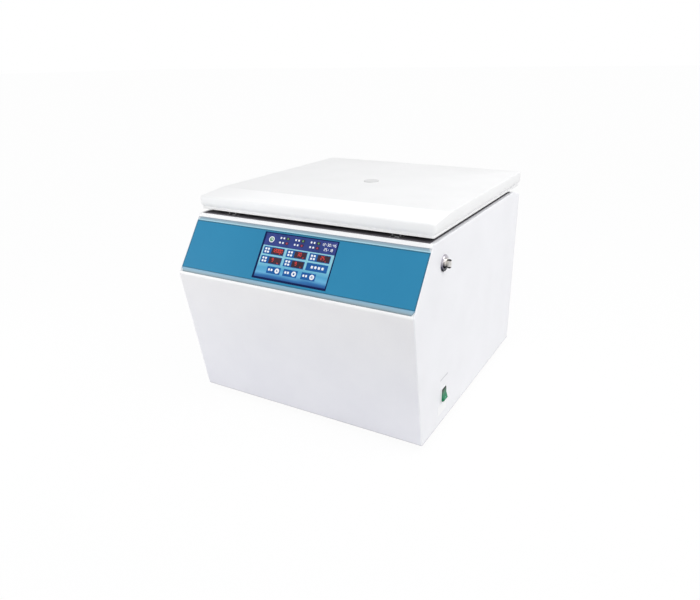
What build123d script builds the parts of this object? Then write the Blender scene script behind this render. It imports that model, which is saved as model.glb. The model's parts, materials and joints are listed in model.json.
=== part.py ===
"""Benchtop centrifuge with a hinged lid and a four-place swing-out rotor, in millimetres.

Frame: X = 0 is the middle of the case, Y = 0 the middle of its depth with the front towards -Y,
and Z = 0 the surface that the feet stand on.
"""

import math
import os

from build123d import *

os.makedirs("parts", exist_ok=True)

# Clearances
running_fit = 0.05      # radial, a pin or shaft in its bore
sliding_fit = 0.3       # each side of a piece that moves past another
seat_gap = 0.3          # round a piece that is dropped into a pocket

# Case: the side outline, and the painted sheet that it is folded from
case_width = 480.0
case_depth = 558.0      # from the fold of the front to the back
sheet = 2.0
foot_height = 14.0
base_setback = 48.0     # front edge of the base behind the fold
deck_setback = 70.5     # front edge of the deck behind the fold
fold_height = 257.5     # above the base edge
deck_height = 356.7     # above the base edge
bevel_run = 45.0        # slope at the rear of the deck
bevel_drop = 12.5
fold_radius = 3.0
side_edge_radius = 1.5
lip = 8.0               # width that the front and rear sheets turn in under their neighbours
deck_lip = 4.5

# Lid
lid_width = 475.0
lid_gap = 7.8           # between deck and lid
lid_height = 29.2
lid_front_setback = 78.0
lid_slope_run = 57.0
lid_slope_drop = 8.0
lid_lip_height = 4.0
lid_lip_lean = 1.5
lid_corner_radius = 3.0
lid_sheet = 2.0
lining_recess = 1.0
lining_sheet = 2.0
lining_upstand = 12.0
lining_boss_radius = 165.0
lining_boss_depth = 4.0
lining_screw_front = 30.0
lining_screw_rear = 60.0
window_radius = 13.7
window_flange_radius = 15.5
window_flange_height = 1.2

# Fascia on the slanted panel, measured down the slope from its top edge
fascia_thickness = 2.2
fascia_from = 7.0
strip_height_upper = 8.0
strip_height_lower = 9.0
fascia_margin_below = 3.7
strip_end_cut = 5.0
strip_edge_chamfer = 0.6
screen_width = 152.0
screen_height = 86.5
screen_from = 18.0
screen_seat = 3.0       # width of the ledge that the glass lies on
display_border = 6.0
display_depth = 10.0
board_gap = 12.0
board_thickness = 1.6
board_spacer = 6.0

# Chamber
bowl_radius = 178.0     # inside
bowl_wall = 2.0
bowl_depth = 175.0      # from the deck to the floor
bowl_corner = 18.0
bowl_flange = 12.0
flange_thickness = 1.5
gasket_width = 8.0
gasket_inset = 1.0
guard_gap = 10.0        # between bowl and guard ring
guard_wall = 4.0
guard_height = 150.0
boot_hole_radius = 22.0
boot_height = 20.0
boot_wall = 3.0

# Rotor
pivot_height = 300.0
pivot_radius = 80.0
yoke_radius = 98.0
yoke_height = 22.0
yoke_chamfer = 3.0
arm_hole_radius = 9.0
arm_hole_at = 76.0
sleeve_radius = 19.0
sleeve_drop = 26.0
trunnion_radius = 4.0
trunnion_length = 4.8
nut_radius = 17.0
nut_height = 15.0
nut_chamfer = 4.0
nut_groove_count = 6
nut_groove_radius = 3.5
nut_groove_offset = 1.5
shaft_radius = 8.0
shoulder_height = 6.0
shoulder_width = 5.0
bucket_radius = 31.0
bucket_wall = 2.0
bucket_rise = 14.0      # rim above the pivot
bucket_drop = 88.0      # bottom below the pivot
bucket_floor = 4.0
bucket_corner = 3.5
rim_width = 2.0
rim_height = 4.0
ear_width = 18.0
ear_rise = 10.0
ear_drop = 9.0
ear_radius = 3.0
bucket_count = 4

# Drive
motor_radius = 62.0
motor_bottom = 60.0
motor_length = 98.0
bell_radius = 44.0
bell_height = 16.0
end_ring_height = 8.0
motor_floor = 10.0
motor_bore_gap = 2.0
fin_count = 12
fin_depth = 5.0
fin_width = 4.0
motor_plate_size = 190.0
motor_plate_thickness = 6.0
damper_radius = 14.0
damper_inset = 22.0
bearing_radius = 17.5
bearing_width = 11.0
bearing_rise = 12.0     # lower bearing above the motor's foot

# Motor drive and power supply on the base plate
controller_width = 88.0
controller_length = 140.0
controller_height = 50.0
controller_fin_count = 7
controller_fin_width = 4.0
controller_fin_height = 10.0
controller_fin_margin = 4.0
supply_width = 100.0
supply_length = 140.0
supply_height = 42.0
supply_radius = 3.0

# Lid hinges
hinge_inset = 87.5      # from the lid's side
hinge_setback = 12.0    # axis ahead of the back
hinge_rise = 7.5        # axis above the sloped deck
knuckle_radius = 6.0
hinge_pin_radius = 3.0
middle_knuckle = 14.0
outer_knuckle = 11.0
leaf_thickness = 2.5
leaf_length = 24.0
upper_leaf_extra = 6.0
web_lift = 0.3
hinge_pin_end = 1.0

# Lid lock
lock_inset = 68.5       # from the lid's side
striker_leg_gap = 14.0  # between leg centres
striker_wire_radius = 2.2
striker_from_front = 6.0
striker_drop = 34.0
striker_plate_thickness = 2.5
striker_plate_side = 5.0
striker_plate_rear = 9.0
striker_slot_side = 3.0
striker_slot_end = 2.5
bolt_width = 7.0
bolt_height = 8.0
bolt_length = 44.0
bolt_gap = 2.8          # between the drawn-back bolt and the striker
bolt_lift = 1.5         # above its least height over the striker's bar
bolt_chamfer = 2.0
lock_unit_width = 34.0
lock_unit_depth = 46.0
lock_unit_height = 30.0
lock_unit_gap = 1.5     # behind the striker
lock_unit_radius = 2.0

# Key lock and power switch on the right-hand side
key_lock_from_back = 443.0
key_lock_height = 314.0
escutcheon_radius = 14.5
escutcheon_height = 3.0
barrel_radius = 8.8
barrel_proud = 5.5
barrel_length = 28.0
key_thickness = 2.4
key_blade_height = 7.0
key_bow_height = 15.0
key_bow_length = 7.0
key_bow_radius = 2.5
key_neck = 2.0
key_tip_gap = 1.0
switch_from_back = 420.0
switch_height = 59.2
bezel_width = 25.0
bezel_height = 31.0
bezel_thickness = 2.0
rocker_width = 18.0
rocker_radius = 12.8
rocker_proud = 5.0
rocker_dip = 1.6
rocker_tilt = 10.0
rocker_root = 8.0       # behind the pivot
rocker_heel = 4.0
switch_body_depth = 26.0
bezel_radius = 2.0

# Feet, rear panel and base
foot_radius = 18.0
foot_toe_radius = 15.0
foot_side_inset = 50.0
foot_front_inset = 66.0
foot_rear_inset = 54.0
foot_heel = 2.0
foot_screw_radius = 3.0
foot_screw_end = 5.0    # above the base plate
foot_head_radius = 6.0
foot_head_height = 3.5
foot_recess_radius = 8.0
foot_recess_depth = 5.0
base_vent_count = 6
base_vent_from_middle = 40.0
base_vent_from_front = 90.0
fan_size = 119.0
fan_depth = 25.0
fan_bore_radius = 56.0
fan_hub_radius = 19.0
fan_blade_count = 7
fan_blade_tilt = 35.0
fan_blade_thickness = 2.0
fan_blade_share = 0.9   # of the hub's depth
fan_rear_gap = 2.0
fan_tip_gap = 2.0
fan_corner = 6.0
fan_spider_depth = 3.0
fan_strut_width = 5.0
fan_spindle_radius = 3.0
fan_spindle_length = 12.0
fan_inset = 130.0       # from the left-hand side
fan_z = 106.0
grille_web = 5.0
grille_ring_width = 6.0
vent_length = 26.0
vent_width = 4.0
vent_pitch = 9.0
vent_count = 12
vent_rows = 2
vent_row_pitch = 38.0
vent_inset = 174.0      # first slot, from the right-hand side
vent_z = 118.0
inlet_inset = 75.0      # from the right-hand side
inlet_z = 62.0
inlet_flange_width = 50.0
inlet_flange_height = 30.0
inlet_flange_thickness = 2.5
inlet_body_width = 30.0
inlet_body_height = 22.0
inlet_body_depth = 24.0
inlet_mouth_width = 24.5
inlet_mouth_height = 16.5
inlet_mouth_depth = 17.0
inlet_pin_spacing = 7.0
inlet_pin_width = 2.0
inlet_pin_height = 4.0
inlet_pin_length = 14.0
inlet_side_pin_drop = 1.5
inlet_middle_pin_rise = 2.5
inlet_radius = 3.0
rear_screw_side = 14.0
rear_screw_end = 22.0
screw_head_radius = 3.5
screw_head_height = 2.0
screw_radius = 1.6
screw_length = 8.0

# Places worked out from the sizes
back_y = case_depth / 2
fold_y = -case_depth / 2
base_z = foot_height
fold_z = base_z + fold_height
deck_z = base_z + deck_height
base_front_y = fold_y + base_setback
deck_front_y = fold_y + deck_setback
bevel_y = back_y - bevel_run
back_top_z = deck_z - bevel_drop
inside_x = case_width / 2 - sheet
floor_z = base_z + sheet
foot_x = case_width / 2 - foot_side_inset
fan_x = fan_inset - case_width / 2
vent_x = case_width / 2 - vent_inset
inlet_x = case_width / 2 - inlet_inset

lid_bottom = deck_z + lid_gap
lid_top = lid_bottom + lid_height
lid_front = fold_y + lid_front_setback
lid_side = lid_width / 2
lid_wall = lid_sheet + lid_lip_lean
lining_z = lid_bottom + lining_recess
hinge_x = lid_side - hinge_inset
lock_x = lid_side - lock_inset
rotor_y = (lid_front + back_y) / 2

slant_run = deck_front_y - fold_y
slant_rise = deck_z - fold_z
slant_length = math.hypot(slant_run, slant_rise)
slant_plane = Plane(
    origin=(0, deck_front_y, deck_z),
    x_dir=(1, 0, 0),
    z_dir=(0, -slant_rise / slant_length, slant_run / slant_length),
)
strip_upper_end = fascia_from + strip_height_upper
strip_lower_start = slant_length - fascia_margin_below - strip_height_lower
fascia_end = slant_length - fascia_margin_below

bowl_outer = bowl_radius + bowl_wall
bowl_floor = deck_z - bowl_depth
flange_radius = bowl_outer + bowl_flange
flange_top = deck_z + flange_thickness
gasket_outer = flange_radius - gasket_inset
guard_inner = bowl_outer + guard_gap

ear_reach = bucket_radius + 2 * bucket_wall + trunnion_length / 2
slot_half = ear_reach + sliding_fit
slot_start = pivot_radius - math.hypot(bucket_radius + rim_width, bucket_rise) - bucket_wall
yoke_top = pivot_height + yoke_height / 2
yoke_bottom = pivot_height - yoke_height / 2

bevel_slope = math.degrees(math.atan2(bevel_drop, bevel_run))
hinge_y = back_y - hinge_setback
hinge_z = deck_z - bevel_drop * (hinge_y - bevel_y) / bevel_run + hinge_rise

striker_y = lid_front + striker_from_front
bar_z = lining_z - striker_drop
bolt_tip = striker_y + striker_wire_radius + bolt_gap
bolt_z = bar_z + striker_wire_radius + sliding_fit + bolt_height / 2 + bolt_lift
deck_underside = deck_z - sheet

side_x = case_width / 2
key_y = back_y - key_lock_from_back
key_z = base_z + key_lock_height
switch_y = back_y - switch_from_back
switch_z = base_z + switch_height
rocker_x = side_x - bezel_thickness


def block(x_low, x_high, y_low, y_high, z_low, z_high):
    """A box from its lowest and highest corner values."""
    centre = Pos((x_low + x_high) / 2, (y_low + y_high) / 2, (z_low + z_high) / 2)
    return centre * Box(x_high - x_low, y_high - y_low, z_high - z_low)


def rod_z(x, y, z_low, z_high, radius):
    return Pos(x, y, (z_low + z_high) / 2) * Cylinder(radius, z_high - z_low)


def rod_x(x_low, x_high, y, z, radius):
    return Pos((x_low + x_high) / 2, y, z) * Rot(0, 90, 0) * Cylinder(radius, x_high - x_low)


def rod_y(x, y_low, y_high, z, radius):
    return Pos(x, (y_low + y_high) / 2, z) * Rot(90, 0, 0) * Cylinder(radius, y_high - y_low)


def side_prism(points, x_low, x_high):
    """A shape drawn in Y and Z, pulled along X."""
    face = Plane.YZ.offset(x_low) * Polygon(*points, align=None)
    return extrude(face, amount=x_high - x_low, dir=(1, 0, 0))


def turned(points):
    """A section in radius and height, turned about the rotor's axis."""
    section = Plane.XZ * Polygon(*points, align=None)
    return Pos(0, rotor_y, 0) * revolve(section, Axis.Z)


def on_slant(x_low, x_high, from_top, to_top, depth, height):
    """A box on the slanted panel: down the slope from its top edge, and out from its face."""
    size = Box(x_high - x_low, to_top - from_top, height - depth)
    centre = Pos((x_low + x_high) / 2, -(from_top + to_top) / 2, (depth + height) / 2)
    return slant_plane * centre * size


def save(name, shape):
    solids = shape.solids()
    export_step(solids[0] if len(solids) == 1 else Compound(children=solids), f"parts/{name}.step")


def case_outline():
    corners = [
        (base_front_y, base_z),
        (fold_y, fold_z),
        (deck_front_y, deck_z),
        (bevel_y, deck_z),
        (back_y, back_top_z),
        (back_y, base_z),
    ]
    outline = Polygon(*corners, align=None)
    return fillet(outline.vertices(), fold_radius)


def case_wall():
    """The sheet all round between the side panels, cut up into its pieces below."""
    outline = case_outline()
    ring = outline - offset(outline, -sheet)
    return extrude(Plane.YZ.offset(-inside_x) * ring, amount=2 * inside_x, dir=(1, 0, 0))


def side_panel(side):
    """A flat side panel; the right-hand one carries the key lock and the power switch."""
    inner = side * inside_x
    panel = extrude(Plane.YZ.offset(inner) * case_outline(), amount=sheet, dir=(side, 0, 0))
    outer_face = panel.faces().sort_by(Axis.X)[-1 if side > 0 else 0]
    panel = fillet(outer_face.edges(), side_edge_radius)
    if side > 0:
        panel -= rod_x(inner - 1, side_x + 1, key_y, key_z, barrel_radius + sliding_fit)
        half_y = rocker_width / 2 + bezel_thickness
        half_z = rocker_radius + bezel_thickness
        panel -= block(inner - 1, side_x + 1, switch_y - half_y, switch_y + half_y,
                       switch_z - half_z, switch_z + half_z)
    return panel


def front_cover(wall):
    """Lower face and slanted panel in one sheet, stepped back under the fascia."""
    far = 2 * case_depth
    cover = wall & block(-far, far, -far, deck_front_y + deck_lip, fold_z, far)
    cover += wall & block(-far, far, -far, base_front_y + lip, -far, fold_z)
    cover -= on_slant(-inside_x, inside_x, fascia_from, fascia_end, -sheet - 1, 1)
    back = -fascia_thickness
    backing = on_slant(-inside_x, inside_x, fascia_from - sheet, fascia_end + sheet, back - sheet, back)
    for start in (fascia_from - sheet, fascia_end):
        backing += on_slant(-inside_x, inside_x, start, start + sheet, back - sheet, -sheet / 2)
    cover += backing
    hole_x = screen_width / 2 - screen_seat
    cover -= on_slant(-hole_x, hole_x, screen_from + screen_seat,
                      screen_from + screen_height - screen_seat, back - sheet - 1, 1)
    return cover


def top_deck(wall):
    """Deck with the bowl opening, the striker slots and the slope for the hinges."""
    far = 2 * case_depth
    deck = wall & block(-far, far, deck_front_y + deck_lip, back_y - lip, fold_z, far)
    deck -= rod_z(0, rotor_y, fold_z, deck_z + 1, bowl_outer + seat_gap)
    slot_x = striker_leg_gap / 2 + striker_wire_radius + striker_slot_side
    slot_y = striker_wire_radius + striker_slot_end
    for side in (-1, 1):
        deck -= block(side * lock_x - slot_x, side * lock_x + slot_x,
                      striker_y - slot_y, striker_y + slot_y, fold_z, deck_z + 1)
    return deck


def rear_plane(x, z):
    """A drawing plane on the rear panel, seen from the front so that X runs to the right."""
    return Plane(origin=(x, back_y, z), x_dir=(1, 0, 0), z_dir=(0, -1, 0))


def vent_slots(x, z, count, rows):
    """Upright round-ended slots through the rear panel."""
    slots = []
    for row in range(rows):
        for column in range(count):
            place = rear_plane(x + column * vent_pitch, z + row * vent_row_pitch)
            slot = place * Rot(0, 0, 90) * SlotOverall(vent_length, vent_width)
            slots.append(extrude(slot, amount=2 * sheet, both=True))
    return slots


def fan_grille():
    """Rings of slots in front of the fan, with four webs left across them."""
    pitch = grille_ring_width + grille_web
    rings = Sketch()
    radius = fan_hub_radius
    while radius + grille_ring_width < fan_bore_radius:
        rings += Circle(radius + grille_ring_width) - Circle(radius)
        radius += pitch
    for turn in (45, 135):
        rings -= Rot(0, 0, turn) * Rectangle(2 * fan_bore_radius, grille_web)
    return extrude(rear_plane(fan_x, fan_z) * rings, amount=2 * sheet, both=True)


def rear_screw_places():
    edge_x = inside_x - rear_screw_side
    low = base_z + rear_screw_end
    high = back_top_z - rear_screw_end
    middle = (low + high) / 2
    return [(side * edge_x, z) for side in (-1, 1) for z in (low, middle, high)]


def rear_panel(wall):
    far = 2 * case_depth
    panel = wall & block(-far, far, back_y - lip, far, -far, far)
    panel -= fan_grille()
    for slot in vent_slots(vent_x, vent_z, vent_count, vent_rows):
        panel -= slot
    half_x = inlet_body_width / 2 + seat_gap
    half_z = inlet_body_height / 2 + seat_gap
    panel -= block(inlet_x - half_x, inlet_x + half_x, back_y - 2 * sheet, back_y + 1,
                   inlet_z - half_z, inlet_z + half_z)
    for x, z in rear_screw_places():
        panel -= rod_y(x, back_y - 2 * sheet, back_y + 1, z, screw_radius + running_fit)
    return panel


def foot_places():
    front = base_front_y + foot_front_inset
    rear = back_y - foot_rear_inset
    return {
        "foot_front_left": (-foot_x, front),
        "foot_front_right": (foot_x, front),
        "foot_rear_left": (-foot_x, rear),
        "foot_rear_right": (foot_x, rear),
    }


def base_plate(wall):
    far = 2 * case_depth
    plate = wall & block(-far, far, base_front_y + lip, back_y - lip, -far, fold_z)
    for x, y in foot_places().values():
        plate -= rod_z(x, y, base_z - 1, floor_z + 1, foot_screw_radius + running_fit)
    slot = Rot(0, 0, 90) * SlotOverall(2 * vent_length, 1.5 * vent_width)
    for side in (-1, 1):
        for column in range(base_vent_count):
            x = base_vent_from_middle + column * 2 * vent_pitch
            place = Pos(side * x, base_front_y + base_vent_from_front, base_z)
            plate -= extrude(place * slot, amount=2 * sheet, both=True)
    return plate


def foot(x, y):
    """Tapered rubber foot with a recess for its screw's head."""
    bore = foot_screw_radius + running_fit
    section = Plane.XZ * Polygon(
        (foot_recess_radius, 0),
        (foot_toe_radius, 0),
        (foot_radius, foot_height - foot_heel),
        (foot_radius, foot_height),
        (bore, foot_height),
        (bore, foot_recess_depth),
        (foot_recess_radius, foot_recess_depth),
        align=None)
    return Pos(x, y, 0) * revolve(section, Axis.Z)


def foot_screw(x, y):
    head = rod_z(x, y, foot_recess_depth - foot_head_height, foot_recess_depth, foot_head_radius)
    return head + rod_z(x, y, foot_recess_depth, floor_z + foot_screw_end, foot_screw_radius)


def trim_strip(from_top, to_top, cut_top):
    """A flat strip beside the fascia with its two outer corners cut off."""
    half = inside_x - seat_gap
    inner = half - strip_end_cut
    top_half = inner if cut_top else half
    low_half = half if cut_top else inner
    outline = Polygon((-top_half, -from_top), (top_half, -from_top),
                      (low_half, -to_top), (-low_half, -to_top), align=None)
    strip = extrude(slant_plane * outline, amount=fascia_thickness, dir=-slant_plane.z_dir)
    face = strip.faces().sort_by(Axis(slant_plane.origin, slant_plane.z_dir))[-1]
    return chamfer(face.edges(), strip_edge_chamfer)


def control_fascia():
    half = inside_x - seat_gap
    panel = on_slant(-half, half, strip_upper_end, strip_lower_start, -fascia_thickness, 0)
    hole = screen_width / 2 + seat_gap
    return panel - on_slant(-hole, hole, screen_from - seat_gap,
                            screen_from + screen_height + seat_gap, -fascia_thickness - 1, 1)


def screen_glass():
    half = screen_width / 2
    return on_slant(-half, half, screen_from, screen_from + screen_height, -fascia_thickness, 0)


def display_module():
    """Display that stands on the back of the panel and comes through to the glass."""
    back = -fascia_thickness - sheet
    half = screen_width / 2 + display_border
    body = on_slant(-half, half, screen_from - display_border / 2,
                    screen_from + screen_height + display_border / 2, back - display_depth, back)
    pad = screen_width / 2 - screen_seat - seat_gap
    pad_edge = screen_seat + seat_gap
    return body + on_slant(-pad, pad, screen_from + pad_edge,
                           screen_from + screen_height - pad_edge, back, -fascia_thickness)


def control_board():
    """Board on four spacers behind the display."""
    front = -fascia_thickness - sheet - display_depth
    half = screen_width / 2 - display_border
    low = screen_from + display_border
    high = screen_from + screen_height - display_border
    board = on_slant(-half, half, low, high, front - board_gap - board_thickness, front - board_gap)
    for x in (-half, half - board_spacer):
        for start in (low, high - board_spacer):
            board += on_slant(x, x + board_spacer, start, start + board_spacer,
                              front - board_gap, front)
    return board


def chamber_bowl():
    """Deep-drawn bowl that hangs on the deck by its flange."""
    outer = turned([
        (boot_hole_radius, bowl_floor),
        (bowl_outer, bowl_floor),
        (bowl_outer, deck_z),
        (flange_radius, deck_z),
        (flange_radius, flange_top),
        (boot_hole_radius, flange_top),
    ])
    inner = turned([
        (0, bowl_floor + bowl_wall),
        (bowl_radius, bowl_floor + bowl_wall),
        (bowl_radius, flange_top + 1),
        (0, flange_top + 1),
    ])
    low_edge = outer.edges().filter_by(GeomType.CIRCLE).group_by(Axis.Z)[0].sort_by(SortBy.RADIUS)[-1]
    inner_edge = inner.edges().filter_by(GeomType.CIRCLE).group_by(Axis.Z)[0].sort_by(SortBy.RADIUS)[-1]
    return fillet(low_edge, bowl_corner) - fillet(inner_edge, bowl_corner - bowl_wall)


def bowl_gasket():
    """Rubber ring on the flange, with a rounded top that the lid lining closes on."""
    inner = gasket_outer - gasket_width
    top = lining_z - seat_gap
    ring = turned([
        (inner, flange_top),
        (gasket_outer, flange_top),
        (gasket_outer, top),
        (inner, top),
    ])
    top_edges = ring.edges().filter_by(GeomType.CIRCLE).group_by(Axis.Z)[-1]
    return chamfer(top_edges, gasket_width / 4)


def guard_ring():
    top = deck_underside
    return turned([
        (guard_inner, top - guard_height),
        (guard_inner + guard_wall, top - guard_height),
        (guard_inner + guard_wall, top),
        (guard_inner, top),
    ])


def shaft_boot():
    """Rubber cone in the floor of the bowl, close round the shaft."""
    floor_top = bowl_floor + bowl_wall
    hole = shaft_radius + sliding_fit
    return turned([
        (boot_hole_radius - seat_gap, bowl_floor),
        (boot_hole_radius - seat_gap, floor_top),
        (boot_hole_radius + boot_wall, floor_top),
        (hole + boot_wall, floor_top + boot_height),
        (hole, floor_top + boot_height),
        (hole, floor_top + boot_height - boot_wall),
        (boot_hole_radius - boot_wall, floor_top),
        (boot_hole_radius - boot_wall, bowl_floor),
    ])


def motor_top():
    return motor_bottom + motor_length


def motor_housing():
    """Finned motor body with a bell at its top, bored for the shaft and its bearings."""
    top = motor_top()
    body = rod_z(0, rotor_y, motor_bottom, top, motor_radius - fin_depth)
    for number in range(fin_count):
        turn = 360 * number / fin_count
        fin = block(0, motor_radius, -fin_width / 2, fin_width / 2,
                    motor_bottom + end_ring_height, top - end_ring_height)
        body += Pos(0, rotor_y, 0) * Rot(0, 0, turn) * fin
    for start in (motor_bottom, top - end_ring_height):
        body += rod_z(0, rotor_y, start, start + end_ring_height, motor_radius)
    body += rod_z(0, rotor_y, top, top + bell_height, bell_radius)
    body -= rod_z(0, rotor_y, motor_bottom + motor_floor, top + bell_height + 1,
                  shaft_radius + motor_bore_gap)
    for low in bearing_places():
        body -= rod_z(0, rotor_y, low, low + bearing_width, bearing_radius + running_fit)
    return body


def bearing_places():
    """Lower faces of the two bearings: one near the motor's foot and one in its bell."""
    return (motor_bottom + bearing_rise, motor_top() + bell_height - bearing_width)


def motor_bearing(low):
    ring = rod_z(0, rotor_y, low, low + bearing_width, bearing_radius)
    return ring - rod_z(0, rotor_y, low - 1, low + bearing_width + 1, shaft_radius + running_fit)


def motor_plate():
    half = motor_plate_size / 2
    top = motor_bottom
    plate = block(-half, half, rotor_y - half, rotor_y + half, top - motor_plate_thickness, top)
    return fillet(plate.edges().filter_by(Axis.Z), damper_radius)


def motor_dampers():
    reach = motor_plate_size / 2 - damper_inset
    top = motor_bottom - motor_plate_thickness
    return [
        rod_z(x, rotor_y + y, floor_z, top, damper_radius)
        for x in (-reach, reach)
        for y in (-reach, reach)
    ]


def drive_shaft():
    """Motor shaft with a shoulder that the yoke stands on and a stud end for the nut."""
    low = bearing_places()[0]
    shoulder = yoke_bottom - sleeve_drop
    shaft = rod_z(0, rotor_y, low, yoke_top + nut_height / 2, shaft_radius)
    return shaft + rod_z(0, rotor_y, shoulder - shoulder_height, shoulder, shaft_radius + shoulder_width)


def rotor_yoke():
    """Cross of four arms; each slot between two arms has a trunnion on both its flanks."""
    yoke = rod_z(0, 0, yoke_bottom, yoke_top, yoke_radius)
    yoke = chamfer(yoke.faces().sort_by(Axis.Z)[-1].edges(), yoke_chamfer)
    for number in range(bucket_count):
        turn = Rot(0, 0, 90 * number)
        slot = block(slot_start, yoke_radius + 1, -slot_half, slot_half, yoke_bottom - 1, yoke_top + 1)
        yoke -= turn * slot
        yoke -= turn * Rot(0, 0, 45) * rod_z(arm_hole_at, 0, yoke_bottom - 1, yoke_top + 1, arm_hole_radius)
    yoke += rod_z(0, 0, yoke_bottom - sleeve_drop, yoke_bottom, sleeve_radius)
    yoke -= rod_z(0, 0, yoke_bottom - sleeve_drop - 1, yoke_top + 1, shaft_radius + running_fit)
    for number in range(bucket_count):
        for side in (-1, 1):
            inner = side * (slot_half - trunnion_length)
            outer = side * (slot_half + 1)
            pin = rod_y(pivot_radius, min(inner, outer), max(inner, outer), pivot_height, trunnion_radius)
            yoke += Rot(0, 0, 90 * number) * pin
    return Pos(0, rotor_y, 0) * yoke


def rotor_nut():
    """Round nut with grooves for the fingers, screwed on the shaft's end."""
    nut = rod_z(0, 0, yoke_top, yoke_top + nut_height, nut_radius)
    nut = chamfer(nut.faces().sort_by(Axis.Z)[-1].edges(), nut_chamfer)
    for number in range(nut_groove_count):
        groove = rod_z(nut_radius + nut_groove_offset, 0, yoke_top - 1, yoke_top + nut_height + 1,
                       nut_groove_radius)
        nut -= Rot(0, 0, 360 * number / nut_groove_count) * groove
    nut -= rod_z(0, 0, yoke_top - 1, yoke_top + nut_height / 2 + sliding_fit, shaft_radius + running_fit)
    return Pos(0, rotor_y, 0) * nut


def bucket(number):
    """A cup with two ears, each notched from below so that it hooks over a trunnion."""
    bottom = pivot_height - bucket_drop
    rim = pivot_height + bucket_rise
    cup = rod_z(0, 0, bottom, rim, bucket_radius)
    cup = chamfer(cup.faces().sort_by(Axis.Z)[0].edges(), bucket_corner)
    cup += rod_z(0, 0, rim - rim_height, rim, bucket_radius + rim_width)
    ears = block(-ear_width / 2, ear_width / 2, -ear_reach, ear_reach,
                 pivot_height - ear_drop, pivot_height + ear_rise)
    cup += chamfer(ears.edges().filter_by(Axis.Y), ear_radius)
    for side in (-1, 1):
        inner = side * (slot_half - trunnion_length - sliding_fit)
        outer = side * (ear_reach + 1)
        low, high = min(inner, outer), max(inner, outer)
        notch = rod_y(0, low, high, pivot_height, trunnion_radius + running_fit)
        notch += block(-trunnion_radius - running_fit, trunnion_radius + running_fit,
                       low, high, pivot_height - ear_drop - 1, pivot_height)
        cup -= notch
    cup -= rod_z(0, 0, bottom + bucket_floor, rim + 1, bucket_radius - bucket_wall)
    turn = Rot(0, 0, 90 * number)
    return Pos(0, rotor_y, 0) * turn * Pos(pivot_radius, 0, 0) * cup


def lid_block(inset, bottom):
    """The lid's outer form, or with an inset the space inside it, open at the bottom."""
    wall = lid_wall if inset else 0
    front = lid_front + wall
    rear = back_y - wall
    side = lid_side - wall
    top = lid_top - inset
    slope_top = lid_front + lid_slope_run
    slope_low = lid_top - lid_slope_drop - inset
    lean = 0 if inset else lid_lip_lean
    lip_z = lid_bottom + lid_lip_height
    long_view = side_prism(
        [(front + lean, bottom), (front, lip_z), (front, slope_low), (slope_top, top), (rear, top),
         (rear, lip_z), (rear - lean, bottom)],
        -side, side)
    front_view = Plane.XZ.offset(-rear - 1) * Polygon(
        (-side + lean, bottom), (-side, lip_z), (-side, top), (side, top), (side, lip_z),
        (side - lean, bottom), align=None)
    return long_view & extrude(front_view, amount=case_depth, dir=(0, -1, 0))


def lid_shell():
    outer = lid_block(0, lid_bottom)
    upright = outer.edges().filter_by(Axis.Z)
    outer = fillet(upright, lid_corner_radius)
    top_edges = [
        edge for edge in outer.edges()
        if edge.center().Z > lid_top - lid_slope_drop - 0.5 and not edge.is_interior
    ]
    outer = fillet(top_edges, lid_corner_radius / 2)
    shell = outer - lid_block(lid_sheet, lid_bottom - 1)
    return shell - rod_z(0, rotor_y, lid_bottom, lid_top + 1, window_radius + seat_gap)


def lining_outline(gap, low, high):
    wall = lid_wall + gap
    return block(-lid_side + wall, lid_side - wall, lid_front + wall, back_y - wall, low, high)


def lid_lining():
    """Pan that closes the lid from below, with a round step over the bowl."""
    pan = lining_outline(seat_gap, lining_z, lining_z + lining_upstand)
    pan -= lining_outline(seat_gap + lining_sheet, lining_z + lining_sheet, lining_z + lining_upstand + 1)
    low = lining_z - lining_boss_depth
    pan += rod_z(0, rotor_y, low, lining_z + lining_sheet, lining_boss_radius)
    pan -= rod_z(0, rotor_y, low + lining_sheet, lining_z + lining_sheet + 1,
                 lining_boss_radius - lining_sheet)
    return pan - rod_z(0, rotor_y, low - 1, lining_z + 1, window_radius + seat_gap)


def sight_window():
    low = lining_z - lining_boss_depth
    window = rod_z(0, rotor_y, low, lid_top + window_flange_height, window_radius)
    flange = rod_z(0, rotor_y, lid_top, lid_top + window_flange_height, window_flange_radius)
    return window + flange


def striker(side):
    """Plate under the lid with a wire loop that goes down through the deck."""
    x = side * lock_x
    half = striker_leg_gap / 2
    side_x_low = x - half - striker_plate_side
    side_x_high = x + half + striker_plate_side
    plate = block(side_x_low, side_x_high, lid_front + lid_wall + seat_gap, striker_y + striker_plate_rear,
                  lining_z - striker_plate_thickness, lining_z)
    top = lining_z - striker_plate_thickness / 2
    path = Polyline((x - half, striker_y, top), (x - half, striker_y, bar_z),
                    (x + half, striker_y, bar_z), (x + half, striker_y, top))
    section = Plane(path @ 0, z_dir=path % 0) * Circle(striker_wire_radius)
    return plate + sweep(section, path=path, transition=Transition.RIGHT)


def lock_unit(side):
    """Block under the deck that guides the bolt."""
    x = side * lock_x
    front = striker_y + striker_wire_radius + lock_unit_gap
    half = lock_unit_width / 2
    body = block(x - half, x + half, front, front + lock_unit_depth,
                 deck_underside - lock_unit_height, deck_underside)
    body = fillet(body.edges().filter_by(Axis.Y), lock_unit_radius)
    guide_x = bolt_width / 2 + sliding_fit
    guide_z = bolt_height / 2 + sliding_fit
    body -= block(x - guide_x, x + guide_x, front - 1, front + lock_unit_depth + 1,
                  bolt_z - guide_z, bolt_z + guide_z)
    return body


def latch_bolt(side):
    x = side * lock_x
    bolt = block(x - bolt_width / 2, x + bolt_width / 2, bolt_tip, bolt_tip + bolt_length,
                 bolt_z - bolt_height / 2, bolt_z + bolt_height / 2)
    nose = bolt.faces().sort_by(Axis.Y)[0]
    return chamfer(nose.edges().filter_by(Axis.X), bolt_chamfer)


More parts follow.
